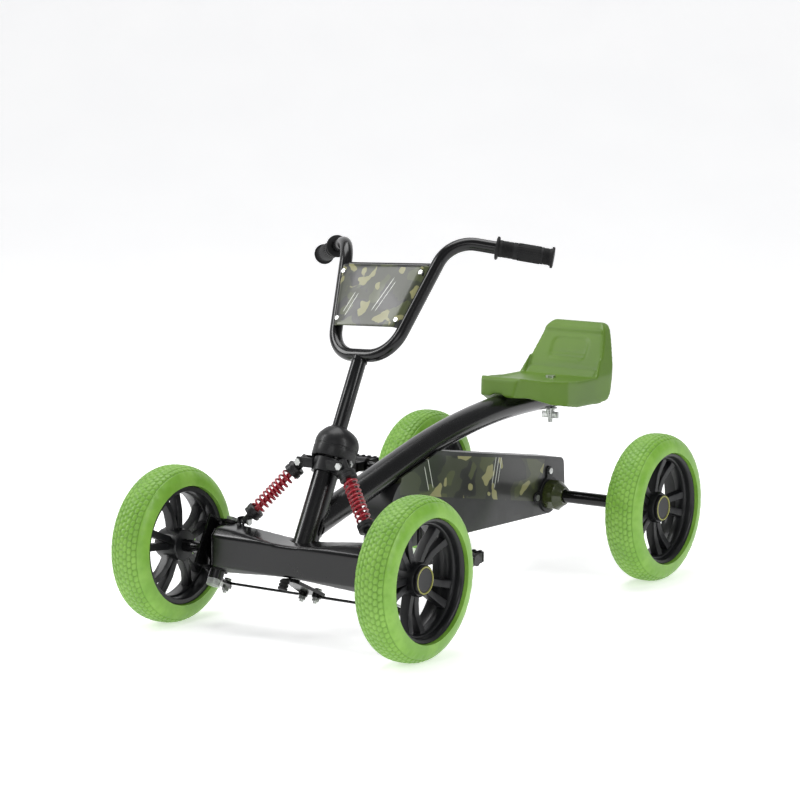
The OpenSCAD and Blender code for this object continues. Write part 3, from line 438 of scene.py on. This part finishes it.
def moulded(node, material, voxel, rounds, cutters=()):
    # a copy of a CAD node remeshed and smoothed like a moulded or pressed part
    bm = bmesh.new()
    bm.from_mesh(nodes[node].data)
    bmesh.ops.remove_doubles(bm, verts=bm.verts, dist=2e-6)
    obj = fromBmesh(node + "_moulded", bm, material, nodes[node]["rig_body"], (node,), scale=False,
        angle=60)
    for c in cutters:
        addModifier(obj, "BOOLEAN", object=c, operation="DIFFERENCE", solver="EXACT")
    addModifier(obj, "REMESH", mode="VOXEL", voxel_size=voxel, use_smooth_shade=True)
    addModifier(obj, "SMOOTH", factor=0.5, iterations=rounds)
    bpy.context.view_layer.update()
    shape = bpy.data.meshes.new_from_object(obj.evaluated_get(bpy.context.evaluated_depsgraph_get()))
    obj.modifiers.clear()
    obj.data = shape
    shape.shade_smooth()
    for c in cutters:
        bpy.data.objects.remove(c)
    return obj


# wheels
tyreSpec = {"name": "tyre", "outer": 115.0, "half": 30.0, "inner": 86.1, "channel": 82.1,
    "channelHalf": 21.9,
            "round": 2 / 2.6, "around": 620, "across": 84, "knobs": 72, "rows": 7, "rowStep": 6.6,
            "depth": 1.5}
wheels = {"front_left": (1, 214, frontY, "front_left_wheel"),
    "front_right": (-1, 214, frontY, "front_right_wheel"),
          "rear_left": (1, 216, rearY, "drive_axle"), "rear_right": (-1, 216, rearY, "rear_right_wheel")}


def tyreProfile(t):
    # t runs 0..1 round the outside, from the inner bead to the outer bead
    a = math.pi * t
    c, s = math.cos(a), math.sin(a)
    e = tyreSpec["round"]
    return (tyreSpec["inner"] + (tyreSpec["outer"] - tyreSpec["inner"]) * abs(s) ** e,
        -tyreSpec["half"] * math.copysign(abs(c) ** e, c))


def knobHeight(angle, x):
    # rows of round-cornered cobbles, each row half a step on from the last
    row = round(x / tyreSpec["rowStep"])
    edge = tyreSpec["rows"] // 2
    if abs(row) > edge:
        return 1.0
    along = angle / (2 * math.pi) * tyreSpec["knobs"] + (0.5 if row % 2 else 0.0) + 0.03 * abs(x)
    du = (along - math.floor(along) - 0.5) * 2
    dx = (x - row * tyreSpec["rowStep"]) / (tyreSpec["rowStep"] / 2)
    d = (abs(du) ** 2.8 + abs(dx) ** 2.8) ** (1 / 2.8)
    k = min(1, max(0, (0.97 - d) / 0.24))
    return k * k * (3 - 2 * k)


def buildTyre(name, place, body):
    bm = bmesh.new()
    nu, nv = tyreSpec["around"], tyreSpec["across"]
    profile = [tyreProfile((0.004 + 0.992 * i / nv)) for i in range(nv + 1)]
    inner = [(tyreSpec["inner"], tyreSpec["channelHalf"]), (tyreSpec["channel"], tyreSpec["channelHalf"]),
             (tyreSpec["channel"], -tyreSpec["channelHalf"]), (tyreSpec["inner"], -tyreSpec["channelHalf"])]
    count = len(profile) + len(inner)
    bmesh.ops.create_grid(bm, x_segments=nu, y_segments=count, size=1)
    # groove depth per vertex: the tyre material reads it for roughness and for painted shade in the grooves
    layer = bm.verts.layers.float.new("groove")
    for v in bm.verts:
        u = (v.co.x + 1) / 2 * 2 * math.pi
        i = int(round((v.co.y + 1) / 2 * count)) % count
        if i < len(profile):
            r, x = profile[i]
            low = 1 - knobHeight(u, x) if abs(x) < tyreSpec["rowStep"] * (tyreSpec["rows"] / 2) else 0.0
            # scalloped shoulder
            if abs(x) > 23.2 and r > 97:
                low = 0.35 * max(0, math.cos(u * tyreSpec["knobs"] / 2)) * max(0, 1 - abs(r - 104) / 6)
            nx = x / tyreSpec["half"]
            lean = min(1, abs(nx) ** 3)
            depth = tyreSpec["depth"] * low
            r -= depth * (1 - 0.6 * lean)
            x -= math.copysign(depth * 0.7 * lean, x)
            v[layer] = low
        else:
            r, x = inner[i - len(profile)]
        v.co = (x, r * math.cos(u), r * math.sin(u))
    bmesh.ops.remove_doubles(bm, verts=bm.verts, dist=1e-3)
    return fromBmesh(name, bm, tyreMat, body, (name.replace("Tread", "") + "_tyre",), place,
        70)


rimSpec = {"name": "rim", "edge": 86.0, "barrel": 80.5, "wall": 78.0, "half": 25.0, "hub": 24.0,
    "spokes": 5}


def spokeBar(bm, spec, side, angle):
    # one bar of a twin spoke: from the hub, in, then stepping out to the rim
    stations = [(20, 5.0, 3.0, 10.0, 16), (34, 6.4, 2.4, 10.2, 15), (48, 8.6, 3.0, 10.4, 14.5),
        (60, 11.2, 6.5, 10.8, 14), (70, 13.8, 10.5, 11.8, 14), (80, 16.0, 12.0, 13.5, 15)]
    rings = []
    for r, off, x, wide, deep in stations:
        ring = []
        for a, b in ((-1, -1), (1, -1), (1, 1), (-1, 1)):
            ring.append(bm.verts.new((x - deep / 2 + b * deep / 2 * (1.0 if a * side > 0 else 0.92),
                side * off + a * wide / 2, r)))
        rings.append(ring)
    for a, b in zip(rings, rings[1:]):
        for k in range(4):
            bm.faces.new((a[k], a[(k + 1) % 4], b[(k + 1) % 4], b[k]))
    bm.faces.new(rings[0])
    bm.faces.new(rings[-1])
    made = [v for ring in rings for v in ring]
    edges = list({e for v in made for e in v.link_edges if abs(e.verts[0].co.z - e.verts[1].co.z) > 1})
    got = bmesh.ops.bevel(bm, geom=edges, offset=1.3, segments=3, affect="EDGES", profile=0.6)
    made = list({v for v in made if v.is_valid} | set(got["verts"]))
    bmesh.ops.transform(bm, matrix=turn(angle, "X"), verts=made)


def buildRim(name, place, body):
    bm = bmesh.new()
    s = rimSpec
    lathe(bm, [(s["wall"], -s["half"] + 1.5), (s["wall"] + 1, -s["half"]), (s["edge"] - 1, -s["half"]),
        (s["edge"], -s["half"] + 1), (s["edge"], -22.1),
               (82, -22.0), (82, 22.0), (s["edge"], 22.1), (s["edge"], s["half"] - 1),
               (s["edge"] - 1.2, s["half"]), (82.5, s["half"] - 0.4), (80.6, s["half"] - 2.2),
               (79.4, s["half"] - 6), (78.6, 12), (s["wall"], 8), (s["wall"], 2), (79.2, 0),
               (s["wall"], -2)], 128)
    # step ring that the spokes grow from
    lathe(bm, [(s["wall"] - 2.2, -4), (s["wall"] - 2.8, -2), (s["wall"] - 2.8, 11), (s["wall"] - 1, 13.5),
        (s["wall"] + 1, 14), (s["wall"] + 1, -5)], 128)
    lathe(bm, [(6.1, -24), (21.5, -24), (23, -22.5), (24, -6), (24, 9.6), (22.6, 12), (17, 12), (16, 11.2),
        (16, 2.2), (6.1, 2.2)], 64)
    for k in range(10):
        prism(bm, [(15.5, -1.2), (23.4, -1.2), (23.4, 1.2), (15.5, 1.2)], -23.4, -5, "X", 0,
            turn(36 * k + 18, "X"))
    for k in range(s["spokes"]):
        for side in (-1, 1):
            spokeBar(bm, s, side, 360 / s["spokes"] * k)
    return fromBmesh(name + "Rim", bm, rimBlack, body, (name + "_rim",), place, 36)


def buildCap(name, place, body):
    bm = bmesh.new()
    lathe(bm, [(0.01, 16.8), (13.5, 16.9), (16.2, 17.1), (16.6, 16.6), (17.2, 16.6)], 64, closed=False)
    for f in bm.faces:
        f.material_index = 0
    start = set(bm.faces)
    lathe(bm, [(17.2, 16.6), (17.4, 17.8), (18.0, 18.0), (19.0, 17.9), (19.4, 17.2)], 64, closed=False)
    for f in set(bm.faces) - start:
        f.material_index = 1
    start = set(bm.faces)
    lathe(bm, [(19.4, 17.2), (20.5, 16.4), (20.5, 12.1), (14, 12.1), (14, 15), (0.01, 15)], 64,
        closed=False)
    for f in set(bm.faces) - start:
        f.material_index = 0
    bmesh.ops.remove_doubles(bm, verts=bm.verts, dist=0.012)
    return fromBmesh(name + "Cap", bm, [black, ringGold], body, (name + "_cap",), place,
        30)


phases = {"front_left": 28, "front_right": 4, "rear_left": 50, "rear_right": 16}
for wheelName, (side, half, y, body) in wheels.items():
    place = Matrix.Translation((side * half, y, axleZ)) @ (flipX if side < 0 else Matrix.Identity(4))
    spun = place @ turn(phases[wheelName], "X")
    buildTyre(wheelName + "Tread", place, body)
    buildRim(wheelName, spun, body)
    buildCap(wheelName, place, body)
print("wheels ready")

# seat
seatSpec = {"name": "seat", "voxel": 0.0019, "rounds": 9, "panel": (34, 20), "recess": 1.0}
bm = bmesh.new()
panelM = Matrix.Translation((0, 421 + shiftY, 337)) @ turn(58.7, "X")
pts = []
pw, ph = seatSpec["panel"]
for cx, cy, a0 in ((pw - 9, ph - 9, 0), (-pw + 9, ph - 9, 90), (-pw + 9, -ph + 9, 180),
    (pw - 9, -ph + 9, 270)):
    pts += [(cx + 9 * math.cos(math.radians(a0 + 15 * k)),
        cy + 9 * math.sin(math.radians(a0 + 15 * k))) for k in range(7)]
prism(bm, pts, -seatSpec["recess"], 12, "Z", 0, panelM)
cutter = fromBmesh("panelCutter", bm, seatMat, "seat_unit")
moulded("seat", seatMat, seatSpec["voxel"], seatSpec["rounds"], [cutter])
print("seat ready")

# pressed front beam
beamSpec = {"name": "front_beam", "voxel": 0.0021, "rounds": 10}
moulded("front_beam", steel, beamSpec["voxel"], beamSpec["rounds"])

# main tube and head tube
tubeSpec = {"name": "main_tube", "radius": 20.0, "rise": 15.3, "bend": 1250.0,
    "start": (-30 + shiftY, 224.0), "end": 393 + shiftY, "sides": 64}
bm = bmesh.new()
rise = math.radians(tubeSpec["rise"])
ky, kz = tubeSpec["start"]
path = []
for y in (-270 + shiftY, -220, -160, -100, ky):
    path.append((0, y, kz + (y - ky) * math.tan(rise)))
for k in range(1, 25):
    a = rise * (1 - k / 24)
    path.append((0, ky + tubeSpec["bend"] * (math.sin(rise) - math.sin(a)),
        kz + tubeSpec["bend"] * (math.cos(a) - math.cos(rise))))
path.append((0, tubeSpec["end"], path[-1][2]))
sweep(bm, path, tubeSpec["radius"], tubeSpec["sides"])
# weld bead where the tube meets the head tube
bead = []
for k in range(72):
    a = 2 * math.pi * k / 72
    d = Vector((0, math.cos(rise), math.sin(rise)))
    side, up = Vector((1, 0, 0)), Vector((0, -math.sin(rise), math.cos(rise)))
    offset = side * math.cos(a) * 20 + up * math.sin(a) * 20
    axisP, axisD = Vector((0, -298.5 + shiftY, axleZ)), Vector((0, math.sin(math.radians(rake)),
        math.cos(math.radians(rake))))
    base = Vector((0, ky, kz)) + offset
    # march back along the tube until the head tube's wall
    low, high = -300.0, -100.0
    for _ in range(30):
        mid = (low + high) / 2
        q = base + d * mid
        rel = q - axisP
        dist = (rel - axisD * rel.dot(axisD)).length if abs(offset.x) < 17.9 else 18.1 if mid > -262 else 0
        inside = dist < 18 or (rel - axisD * rel.dot(axisD)).y < 0
        low, high = (mid, high) if inside else (low, mid)
    bead.append(base + d * high)
sweep(bm, bead, 1.9, 8, close=True)
fromBmesh("mainTubeFine", bm, steel, "frame", ("main_tube",), angle=50)

headSpec = {"name": "head_tube", "outer": 18.0, "bore": 15.0, "low": -14.0, "high": 148.0}
bm = bmesh.new()
h = headSpec
lathe(bm, [(h["bore"], h["low"]), (h["outer"] - 0.8, h["low"]), (h["outer"], h["low"] + 0.8),
    (h["outer"], h["high"] - 1), (h["outer"] - 1, h["high"]), (h["bore"], h["high"])], 72, "Z")
fromBmesh("headTubeFine", bm, steel, "frame", ("head_tube",), colM, 40)

# cover over the top bearing
coverSpec = {"name": "column_cover", "low": 149.0, "high": 197.0, "back": 6.0}
bm = bmesh.new()
outer = [(31, 149), (31.6, 150), (32, 164), (31, 164.8), (31, 166.4), (31.8, 167.2)]
outer += [(8 + 24 * math.cos(math.radians(a)), 172 + 24 * math.sin(math.radians(a))) for a in range(0, 81,
    8)]
outer += [(12.2, 196.9), (11.6, 196.4), (11.6, 176), (24, 176), (28, 172), (28.5, 149)]
lathe(bm, outer, 72, "Z")
# lean the round over the stem by its offset, fading to nothing at the stem's hole
for v in bm.verts:
    if v.co.z < 196:
        v.co.y += coverSpec["back"] * min(1, (math.hypot(v.co.x, v.co.y) - 11.6) / 14)
fromBmesh("columnCover", bm, black, "frame", ("column_cover",), colM, 40)
print("frame ready")

# spring struts
strutSpec = {"name": "spring strut", "top": (36, -245 + shiftY, 243), "foot": (112, -285 + shiftY, 152),
    "turns": 9.5, "wire": 1.7, "coil": 9.6}
top, foot = Vector(strutSpec["top"]), Vector(strutSpec["foot"])
strutZ = (foot - top).normalized()
strutX = Vector((0, 1, 0)).cross(strutZ).normalized()
strutY = strutZ.cross(strutX)
strutM = Matrix.Translation(top) @ Matrix((strutX, strutY, strutZ)).transposed().to_4x4()
strutL = (foot - top).length
coils, uppers, lowers, rods = bmesh.new(), bmesh.new(), bmesh.new(), bmesh.new()
for flip in (Matrix.Identity(4), flipX):
    m = flip @ strutM
    z0, z1 = 25.8, strutL - 26.8
    n = 300
    helix = []
    for k in range(n + 1):
        t = k / n
        # closed end turns, open middle
        lift = z0 + (z1 - z0) * (t + 0.035 * math.sin(2 * math.pi * t))
        a = 2 * math.pi * strutSpec["turns"] * t
        helix.append(m @ Vector((strutSpec["coil"] * math.cos(a), strutSpec["coil"] * math.sin(a), lift)))
    sweep(coils, helix, strutSpec["wire"], 10)
    lathe(uppers, [(4.2, 24), (12.4, 24.9), (13, 24.3), (13, 20), (12.2, 19.2), (12.2, 17), (13, 16.2),
        (13, 13.2), (12, 12.2), (6.5, 11.8), (6.5, -7), (5.5, -8), (0.01, -8), (0.01, 10), (4.2, 11)], 40,
        "Z", True, m)
    L = strutL
    lathe(lowers, [(4.2, L - 25.9), (12.4, L - 25.9), (13, L - 25.3), (13, L - 20), (12.2, L - 19),
        (12.2, L - 17), (13, L - 16.4), (12.6, L - 14.5), (8, L - 13.5), (5.6, L - 11), (5.5, L - 1),
        (4.4, L), (0.01, L), (0.01, L - 15), (4.2, L - 16)], 40, "Z", True, m)
    lathe(rods, [(0.01, 11), (4, 11), (4, L - 17), (0.01, L - 17)], 24, "Z", True, m)
fromBmesh("springCoils", coils, spring, "frame", ("shock_springs",))
fromBmesh("strutUppers", uppers, black, "frame", ("shock_upper_cups",), angle=30)
fromBmesh("strutLowers", lowers, black, "frame", ("shock_lower_cups",), angle=30)
fromBmesh("strutRods", rods, spring, "frame", ("shock_rods",), angle=30)
print("struts ready")

# handlebar
barSpec = {"name": "handlebar", "radius": 9.5, "bend": 50.0, "flat": 14.5, "splay": 13.0, "knee": 186.4,
    "kneeBend": 52.0, "grip": (0.82, 0.56, 0.10)}
splay = math.radians(barSpec["splay"])
legFoot = Vector((barSpec["flat"] + 50 * math.cos(splay), 0, 50 * (1 - math.sin(splay))))
legDir = Vector((math.sin(splay), 0, math.cos(splay)))
kneeAt = legFoot + legDir * ((barSpec["knee"] - legFoot.z) / legDir.z)
gripDir = Vector(barSpec["grip"]).normalized()
corner = Vector((barSpec["flat"] + 50 * math.tan((math.pi / 2 - splay) / 2), 0, 0))


def mirrored(v):
    return Vector((-v.x, v.y, v.z))


barEnd = kneeAt + gripDir * (67 + 80)
points = [mirrored(barEnd), mirrored(kneeAt), mirrored(corner), corner, kneeAt, barEnd]
bm = bmesh.new()
sweep(bm, smoothPath(points, [52, 50, 50, 52], 4), barSpec["radius"], 36)
half = legFoot.x + (145 - legFoot.z) * math.tan(splay) - 6
sweep(bm, [(-half, 0, 145), (0, 0, 145), (half, 0, 145)], 3.5, 20)
for s in (-1, 1):
    for z in (52, 128):
        x = legFoot.x + (z - legFoot.z) * math.tan(splay)
        low, high = sorted((s * (x - 16), s * (x - 5)))
        block(bm, (low, -11.9, z - 5), (high, 1, z + 5), 1.0)
bmesh.ops.transform(bm, matrix=barM, verts=bm.verts)
stemM = colM @ turn(barTurn, "Z")
lathe(bm, [(8.1, 118), (10.3, 118), (11, 118.8), (11, barS - 4), (8.1, barS - 4)], 48, "Z", True, stemM)
# weld bead round the foot of the bend
lathe(bm, [(9.5, barS - 11.5), (12.6, barS - 10.5), (12.2, barS - 8.4), (9.5, barS - 7.8)], 48, "Z", True,
    stemM)
fromBmesh("handlebarFine", bm, steel, "steering", ("handlebar",), angle=45)

gripSpec = {"name": "grips", "from": 67, "length": 84, "radius": 12.5, "ribs": 24}
bm = bmesh.new()
for flip in (Matrix.Identity(4), flipX):
    zAxis = gripDir
    xAxis = Vector((0, 0, 1)).cross(zAxis).normalized()
    yAxis = zAxis.cross(xAxis)
    gm = flip @ Matrix.Translation(kneeAt + gripDir * gripSpec["from"]) @ Matrix((xAxis, yAxis,
        zAxis)).transposed().to_4x4()
    prof = [(9.65, 0), (15.8, 0), (17, 0.8), (17, 2.8), (15.8, 3.9), (12.4, 4.4)]
    for k in range(9):
        z = 9 + k * 1.9
        prof += [(12.4, z), (11.7, z + 0.5), (11.7, z + 1.0), (12.4, z + 1.4)]
    prof += [(12.5, 30), (12.1, 31), (12.6, 40), (12.6, 62), (12.1, 66), (12.5, 67)]
    for k in range(5):
        z = 69 + k * 1.9
        prof += [(12.4, z), (11.7, z + 0.5), (11.7, z + 1.0), (12.4, z + 1.4)]
    prof += [(12.8, 80), (15, 80.4), (15.5, 81.2), (15.5, 83), (14.6, 84), (0.01, 84), (0.01, 80.2),
        (9.65, 80.2)]
    lathe(bm, prof, 48, "Z", True, gm)
    # lengthwise ribs on the middle of the grip
    for k in range(gripSpec["ribs"]):
        a = 360 / gripSpec["ribs"] * k
        block(bm, (12.1, -0.7, 32), (12.9, 0.7, 65), 0.25, gm @ turn(a, "Z"))
fromBmesh("gripsFine", bm, rubber, "steering", ("grips",), barM, 35)

# number plate with folded sides
plateSpec = {"name": "number_plate", "low": 40.0, "high": 140.0, "front": -14.5, "thick": 2.0}
halfLow = legFoot.x + (40 - legFoot.z) * math.tan(splay)
halfHigh = legFoot.x + (140 - legFoot.z) * math.tan(splay)
bm = bmesh.new()
section = [(-1.05, 3.0), (-1.0, -6.0), (-0.965, -11.0), (-0.9, -13.6), (-0.8, -14.5), (0.8, -14.5),
    (0.9, -13.6), (0.965, -11.0), (1.0, -6.0), (1.05, 3.0)]
grid = []
steps = 10
for j in range(steps + 1):
    z = plateSpec["low"] + (plateSpec["high"] - plateSpec["low"]) * j / steps
    half = (halfLow + (halfHigh - halfLow) * j / steps) * 0.985
    grid.append([bm.verts.new((f * half, w, z)) for f, w in section])
for a, b in zip(grid, grid[1:]):
    for k in range(len(section) - 1):
        bm.faces.new((a[k], a[k + 1], b[k + 1], b[k]))
# painted highlight: pale streaks on the plate stand in for the glossy highlights on its fold and edge
plateHighlightStreaks = [(0.016, 0.475, 0.5, 0.05, 0.0009), (0.022, 0.472, 0.5, 0.045, 0.0007),
    (-0.043, 0.46, 0.4, 0.03, 0.0008), (-0.037, 0.457, 0.4, 0.034, 0.0007)]
plateMat = camoMaterial("plate_plastic", 0, 2, 22, plateHighlightStreaks, coat=0.2)
plate = fromBmesh("numberPlate", bm, plateMat, "steering", ("number_plate",), barM, 60)
addModifier(plate, "SOLIDIFY", thickness=0.0018, offset=-1)
addModifier(plate, "SUBSURF", levels=1, render_levels=1)
print("handlebar ready")

# chain guard: two shells with a printed band
guardSpec = {"name": "guard", "half": 23.0, "wall": 2.0, "seam": 0.0}


def guardBand(g):
    # the printed band: below the top edge, above the lower line, behind the panel's step
    y, z = g.axis(1), g.axis(2)
    lower = (z - (0.161 - (y + 0.0205) * 0.177)).ramp(0.0, 0.0008)
    edge = (0.2215 - (y + 0.0) * 0.159 - z).ramp(0.0, 0.0008)
    ahead = (y + 0.1).ramp(0.0, 0.001)
    behind = (0.29 - y + (z - 0.13) * 0.3).ramp(0.0, 0.001)
    return lower * edge * ahead * behind


guardPaleStreaks = [(0.155, 0.178, 0.28, 0.05, 0.0009), (0.163, 0.176, 0.28, 0.06, 0.0009),
    (0.171, 0.176, 0.28, 0.045, 0.0008), (-0.02, 0.197, -0.3, 0.05, 0.0009),
    (-0.03, 0.19, -0.3, 0.04, 0.0009)]
guardMat = camoMaterial("guard_printed", 1, 2, 17, guardPaleStreaks, guardBand, coat=0.3)
for node in ("left_guard", "right_guard"):
    refined(node, guardMat, 0.003, 3)

# everything else keeps the frame's shape, with softened edges
plain = {
    "tube_end_cap": (black, "black_plastic", 0.0008), "shock_collar": (black, "frame_steel", 0.0008),
    "shock_bolts": (zinc, "zinc_steel", 0.0004),
    "steering_bushes": (ivory, "bush_plastic", 0.0003), "kingpin_bushes": (ivory, "bush_plastic", 0.0003),
    "drive_plates": (steel, "frame_steel", 0.0004), "guard_posts": (zinc, "zinc_steel", 0.0002),
    "guard_screws": (zinc, "zinc_steel", 0.0004),
    "bearing_flanges": (black, "black_plastic", 0.0006), "flange_bolts": (zinc, "zinc_steel", 0.0003),
    "axle_bearings": (bearing, "zinc_steel", 0.0003),
    "axle_cups": (olive, "olive_plastic", 0.0012), "crank_bushes": (ivory, "bush_plastic", 0.0003),
    "chain": (chainMat, "chain_steel", 0.0),
    "seat_bracket": (steel, "frame_steel", 0.0008), "steering_column": (steel, "frame_steel", 0.0006),
    "stem_bolt": (zinc, "zinc_steel", 0.0003),
    "plate_screws": (zinc, "zinc_steel", 0.0003), "steering_bumper": (rubber, "black_plastic", 0.0004),
    "pitman_bolts": (zinc, "zinc_steel", 0.0004),
    "left_tie_rod": (steel, "frame_steel", 0.0004), "right_tie_rod": (steel, "frame_steel", 0.0004),
    "left_knuckle": (steel, "frame_steel", 0.0006), "right_knuckle": (steel, "frame_steel", 0.0006),
    "left_knuckle_bolts": (zinc, "zinc_steel", 0.0004), "right_knuckle_bolts": (zinc, "zinc_steel", 0.0004),
    "rear_axle": (steel, "frame_steel", 0.0005), "rear_axle_nuts": (zinc, "zinc_steel", 0.0004),
    "rear_sprocket": (steel, "frame_steel", 0.0003),
    "crank": (steel, "frame_steel", 0.0), "chainring": (steel, "frame_steel", 0.0003),
    "seat_bolt": (zinc, "zinc_steel", 0.0005)}
for node, (mat, slotName, width) in plain.items():
    refined(node, mat, width)

# pedals
pedalSpec = {"name": "pedal", "inner": 57.0, "outer": 132.0, "depth": 30.0, "thick": 8.0, "teeth": 7}


def buildPedal(name, side, body):
    bm = bmesh.new()
    s = pedalSpec
    lathe(bm, [(6.1, s["inner"]), (10, s["inner"]), (11, s["inner"] + 1), (11, s["outer"] - 1),
        (10, s["outer"]), (6.1, s["outer"])], 32)
    for y in (-30, 23.5):
        block(bm, (s["inner"], y, -8), (s["outer"], y + 6.5, 8), 1.6)
    for x in (s["inner"], s["inner"] + 22, s["outer"] - 29, s["outer"] - 7):
        block(bm, (x, -29, -7), (x + 7, 29, 7), 1.0)
    # raised treads on both faces
    for k in range(s["teeth"]):
        x = s["inner"] + 3 + k * (s["outer"] - s["inner"] - 10) / (s["teeth"] - 1)
        for y in (-28.5, 24.5):
            block(bm, (x, y, -9.6), (x + 4.5, y + 4, 9.6), 0.6)
    # end reflector frame
    block(bm, (s["outer"] - 3, -20, -5), (s["outer"], 20, 5), 1.0)
    place = Matrix.Translation((0, crankY,
        crankZ - side * 61)) @ (flipX if side < 0 else Matrix.Identity(4))
    fromBmesh(name + "Fine", bm, black, body, (name,), place, 35)


buildPedal("left_pedal", 1, "pedal_left")
buildPedal("right_pedal", -1, "pedal_right")
print("pedals ready")

# floor, light and camera
bm = bmesh.new()
# a seamless sweep: level floor, then a wide curve up behind
sweepLine = [(-9, 0), (4.5, 0)] + [(4.5 + 3 * math.sin(math.radians(a)),
    3 - 3 * math.cos(math.radians(a))) for a in range(6, 91, 6)] + [(7.5, 9)]
backM = turn(35, "Z")
rows = [[bm.verts.new(backM @ Vector((x, y, z))) for x in (-12, 12)] for y, z in sweepLine]
for a, b in zip(rows, rows[1:]):
    bm.faces.new((a[0], a[1], b[1], b[0])).smooth = True
floorMesh = bpy.data.meshes.new("floor")
bm.to_mesh(floorMesh)
bm.free()
g = Graph("studio_floor")
speck = g.noise(g.coord(), 3, 3)
floorMesh.materials.append(g.finish(g.blend(speck.ramp(0.3, 0.7), (0.83, 0.83, 0.84, 1),
    (0.86, 0.86, 0.865, 1)), 0.7 + speck * 0.1, ior=1.2, glow=0.52))
floor = bpy.data.objects.new("floor", floorMesh)
bpy.context.scene.collection.objects.link(floor)


def areaLight(name, place, aim, size, power, colour=(1, 1, 1)):
    data = bpy.data.lights.new(name, "AREA")
    data.shape = "RECTANGLE"
    data.size, data.size_y = size
    data.energy = power
    data.color = colour
    obj = bpy.data.objects.new(name, data)
    obj.location = place
    obj.rotation_euler = (Vector(aim) - Vector(place)).to_track_quat("-Z", "Y").to_euler()
    bpy.context.scene.collection.objects.link(obj)
    return obj


areaLight("overhead", (-0.4, 0.2, 3.0), (0, 0, 0.2), (2.2, 1.6), 52)
areaLight("keyLeft", (-2.4, -1.6, 1.9), (0, 0, 0.25), (0.7, 2.0), 42)
areaLight("stripRight", (2.6, -0.5, 1.6), (0, 0, 0.25), (0.5, 2.2), 26)
areaLight("front", (1.0, -3.4, 1.6), (0, 0, 0.25), (1.8, 1.2), 14)

world = bpy.data.worlds.new("studio")
world.use_nodes = True
world.node_tree.nodes["Background"].inputs["Color"].default_value = (0.93, 0.94, 0.96, 1)
world.node_tree.nodes["Background"].inputs["Strength"].default_value = 0.28
bpy.context.scene.world = world

camData = bpy.data.cameras.new("camera")
camData.lens = 122.486
camData.sensor_width = 36
camData.clip_end = 60
cam = bpy.data.objects.new("camera", camData)
az, el, reach = math.radians(35), math.radians(8.4), 4.0873
aim = Vector((-0.0384, -0.0115, 0.3008))
cam.location = aim + reach * Vector((math.sin(az) * math.cos(el), -math.cos(az) * math.cos(el),
    math.sin(el)))
cam.rotation_euler = (aim - cam.location).to_track_quat("-Z", "Y").to_euler()
bpy.context.scene.collection.objects.link(cam)
bpy.context.scene.camera = cam
bpy.context.scene.view_settings.view_transform = "Standard"
bpy.context.scene.view_settings.look = "None"
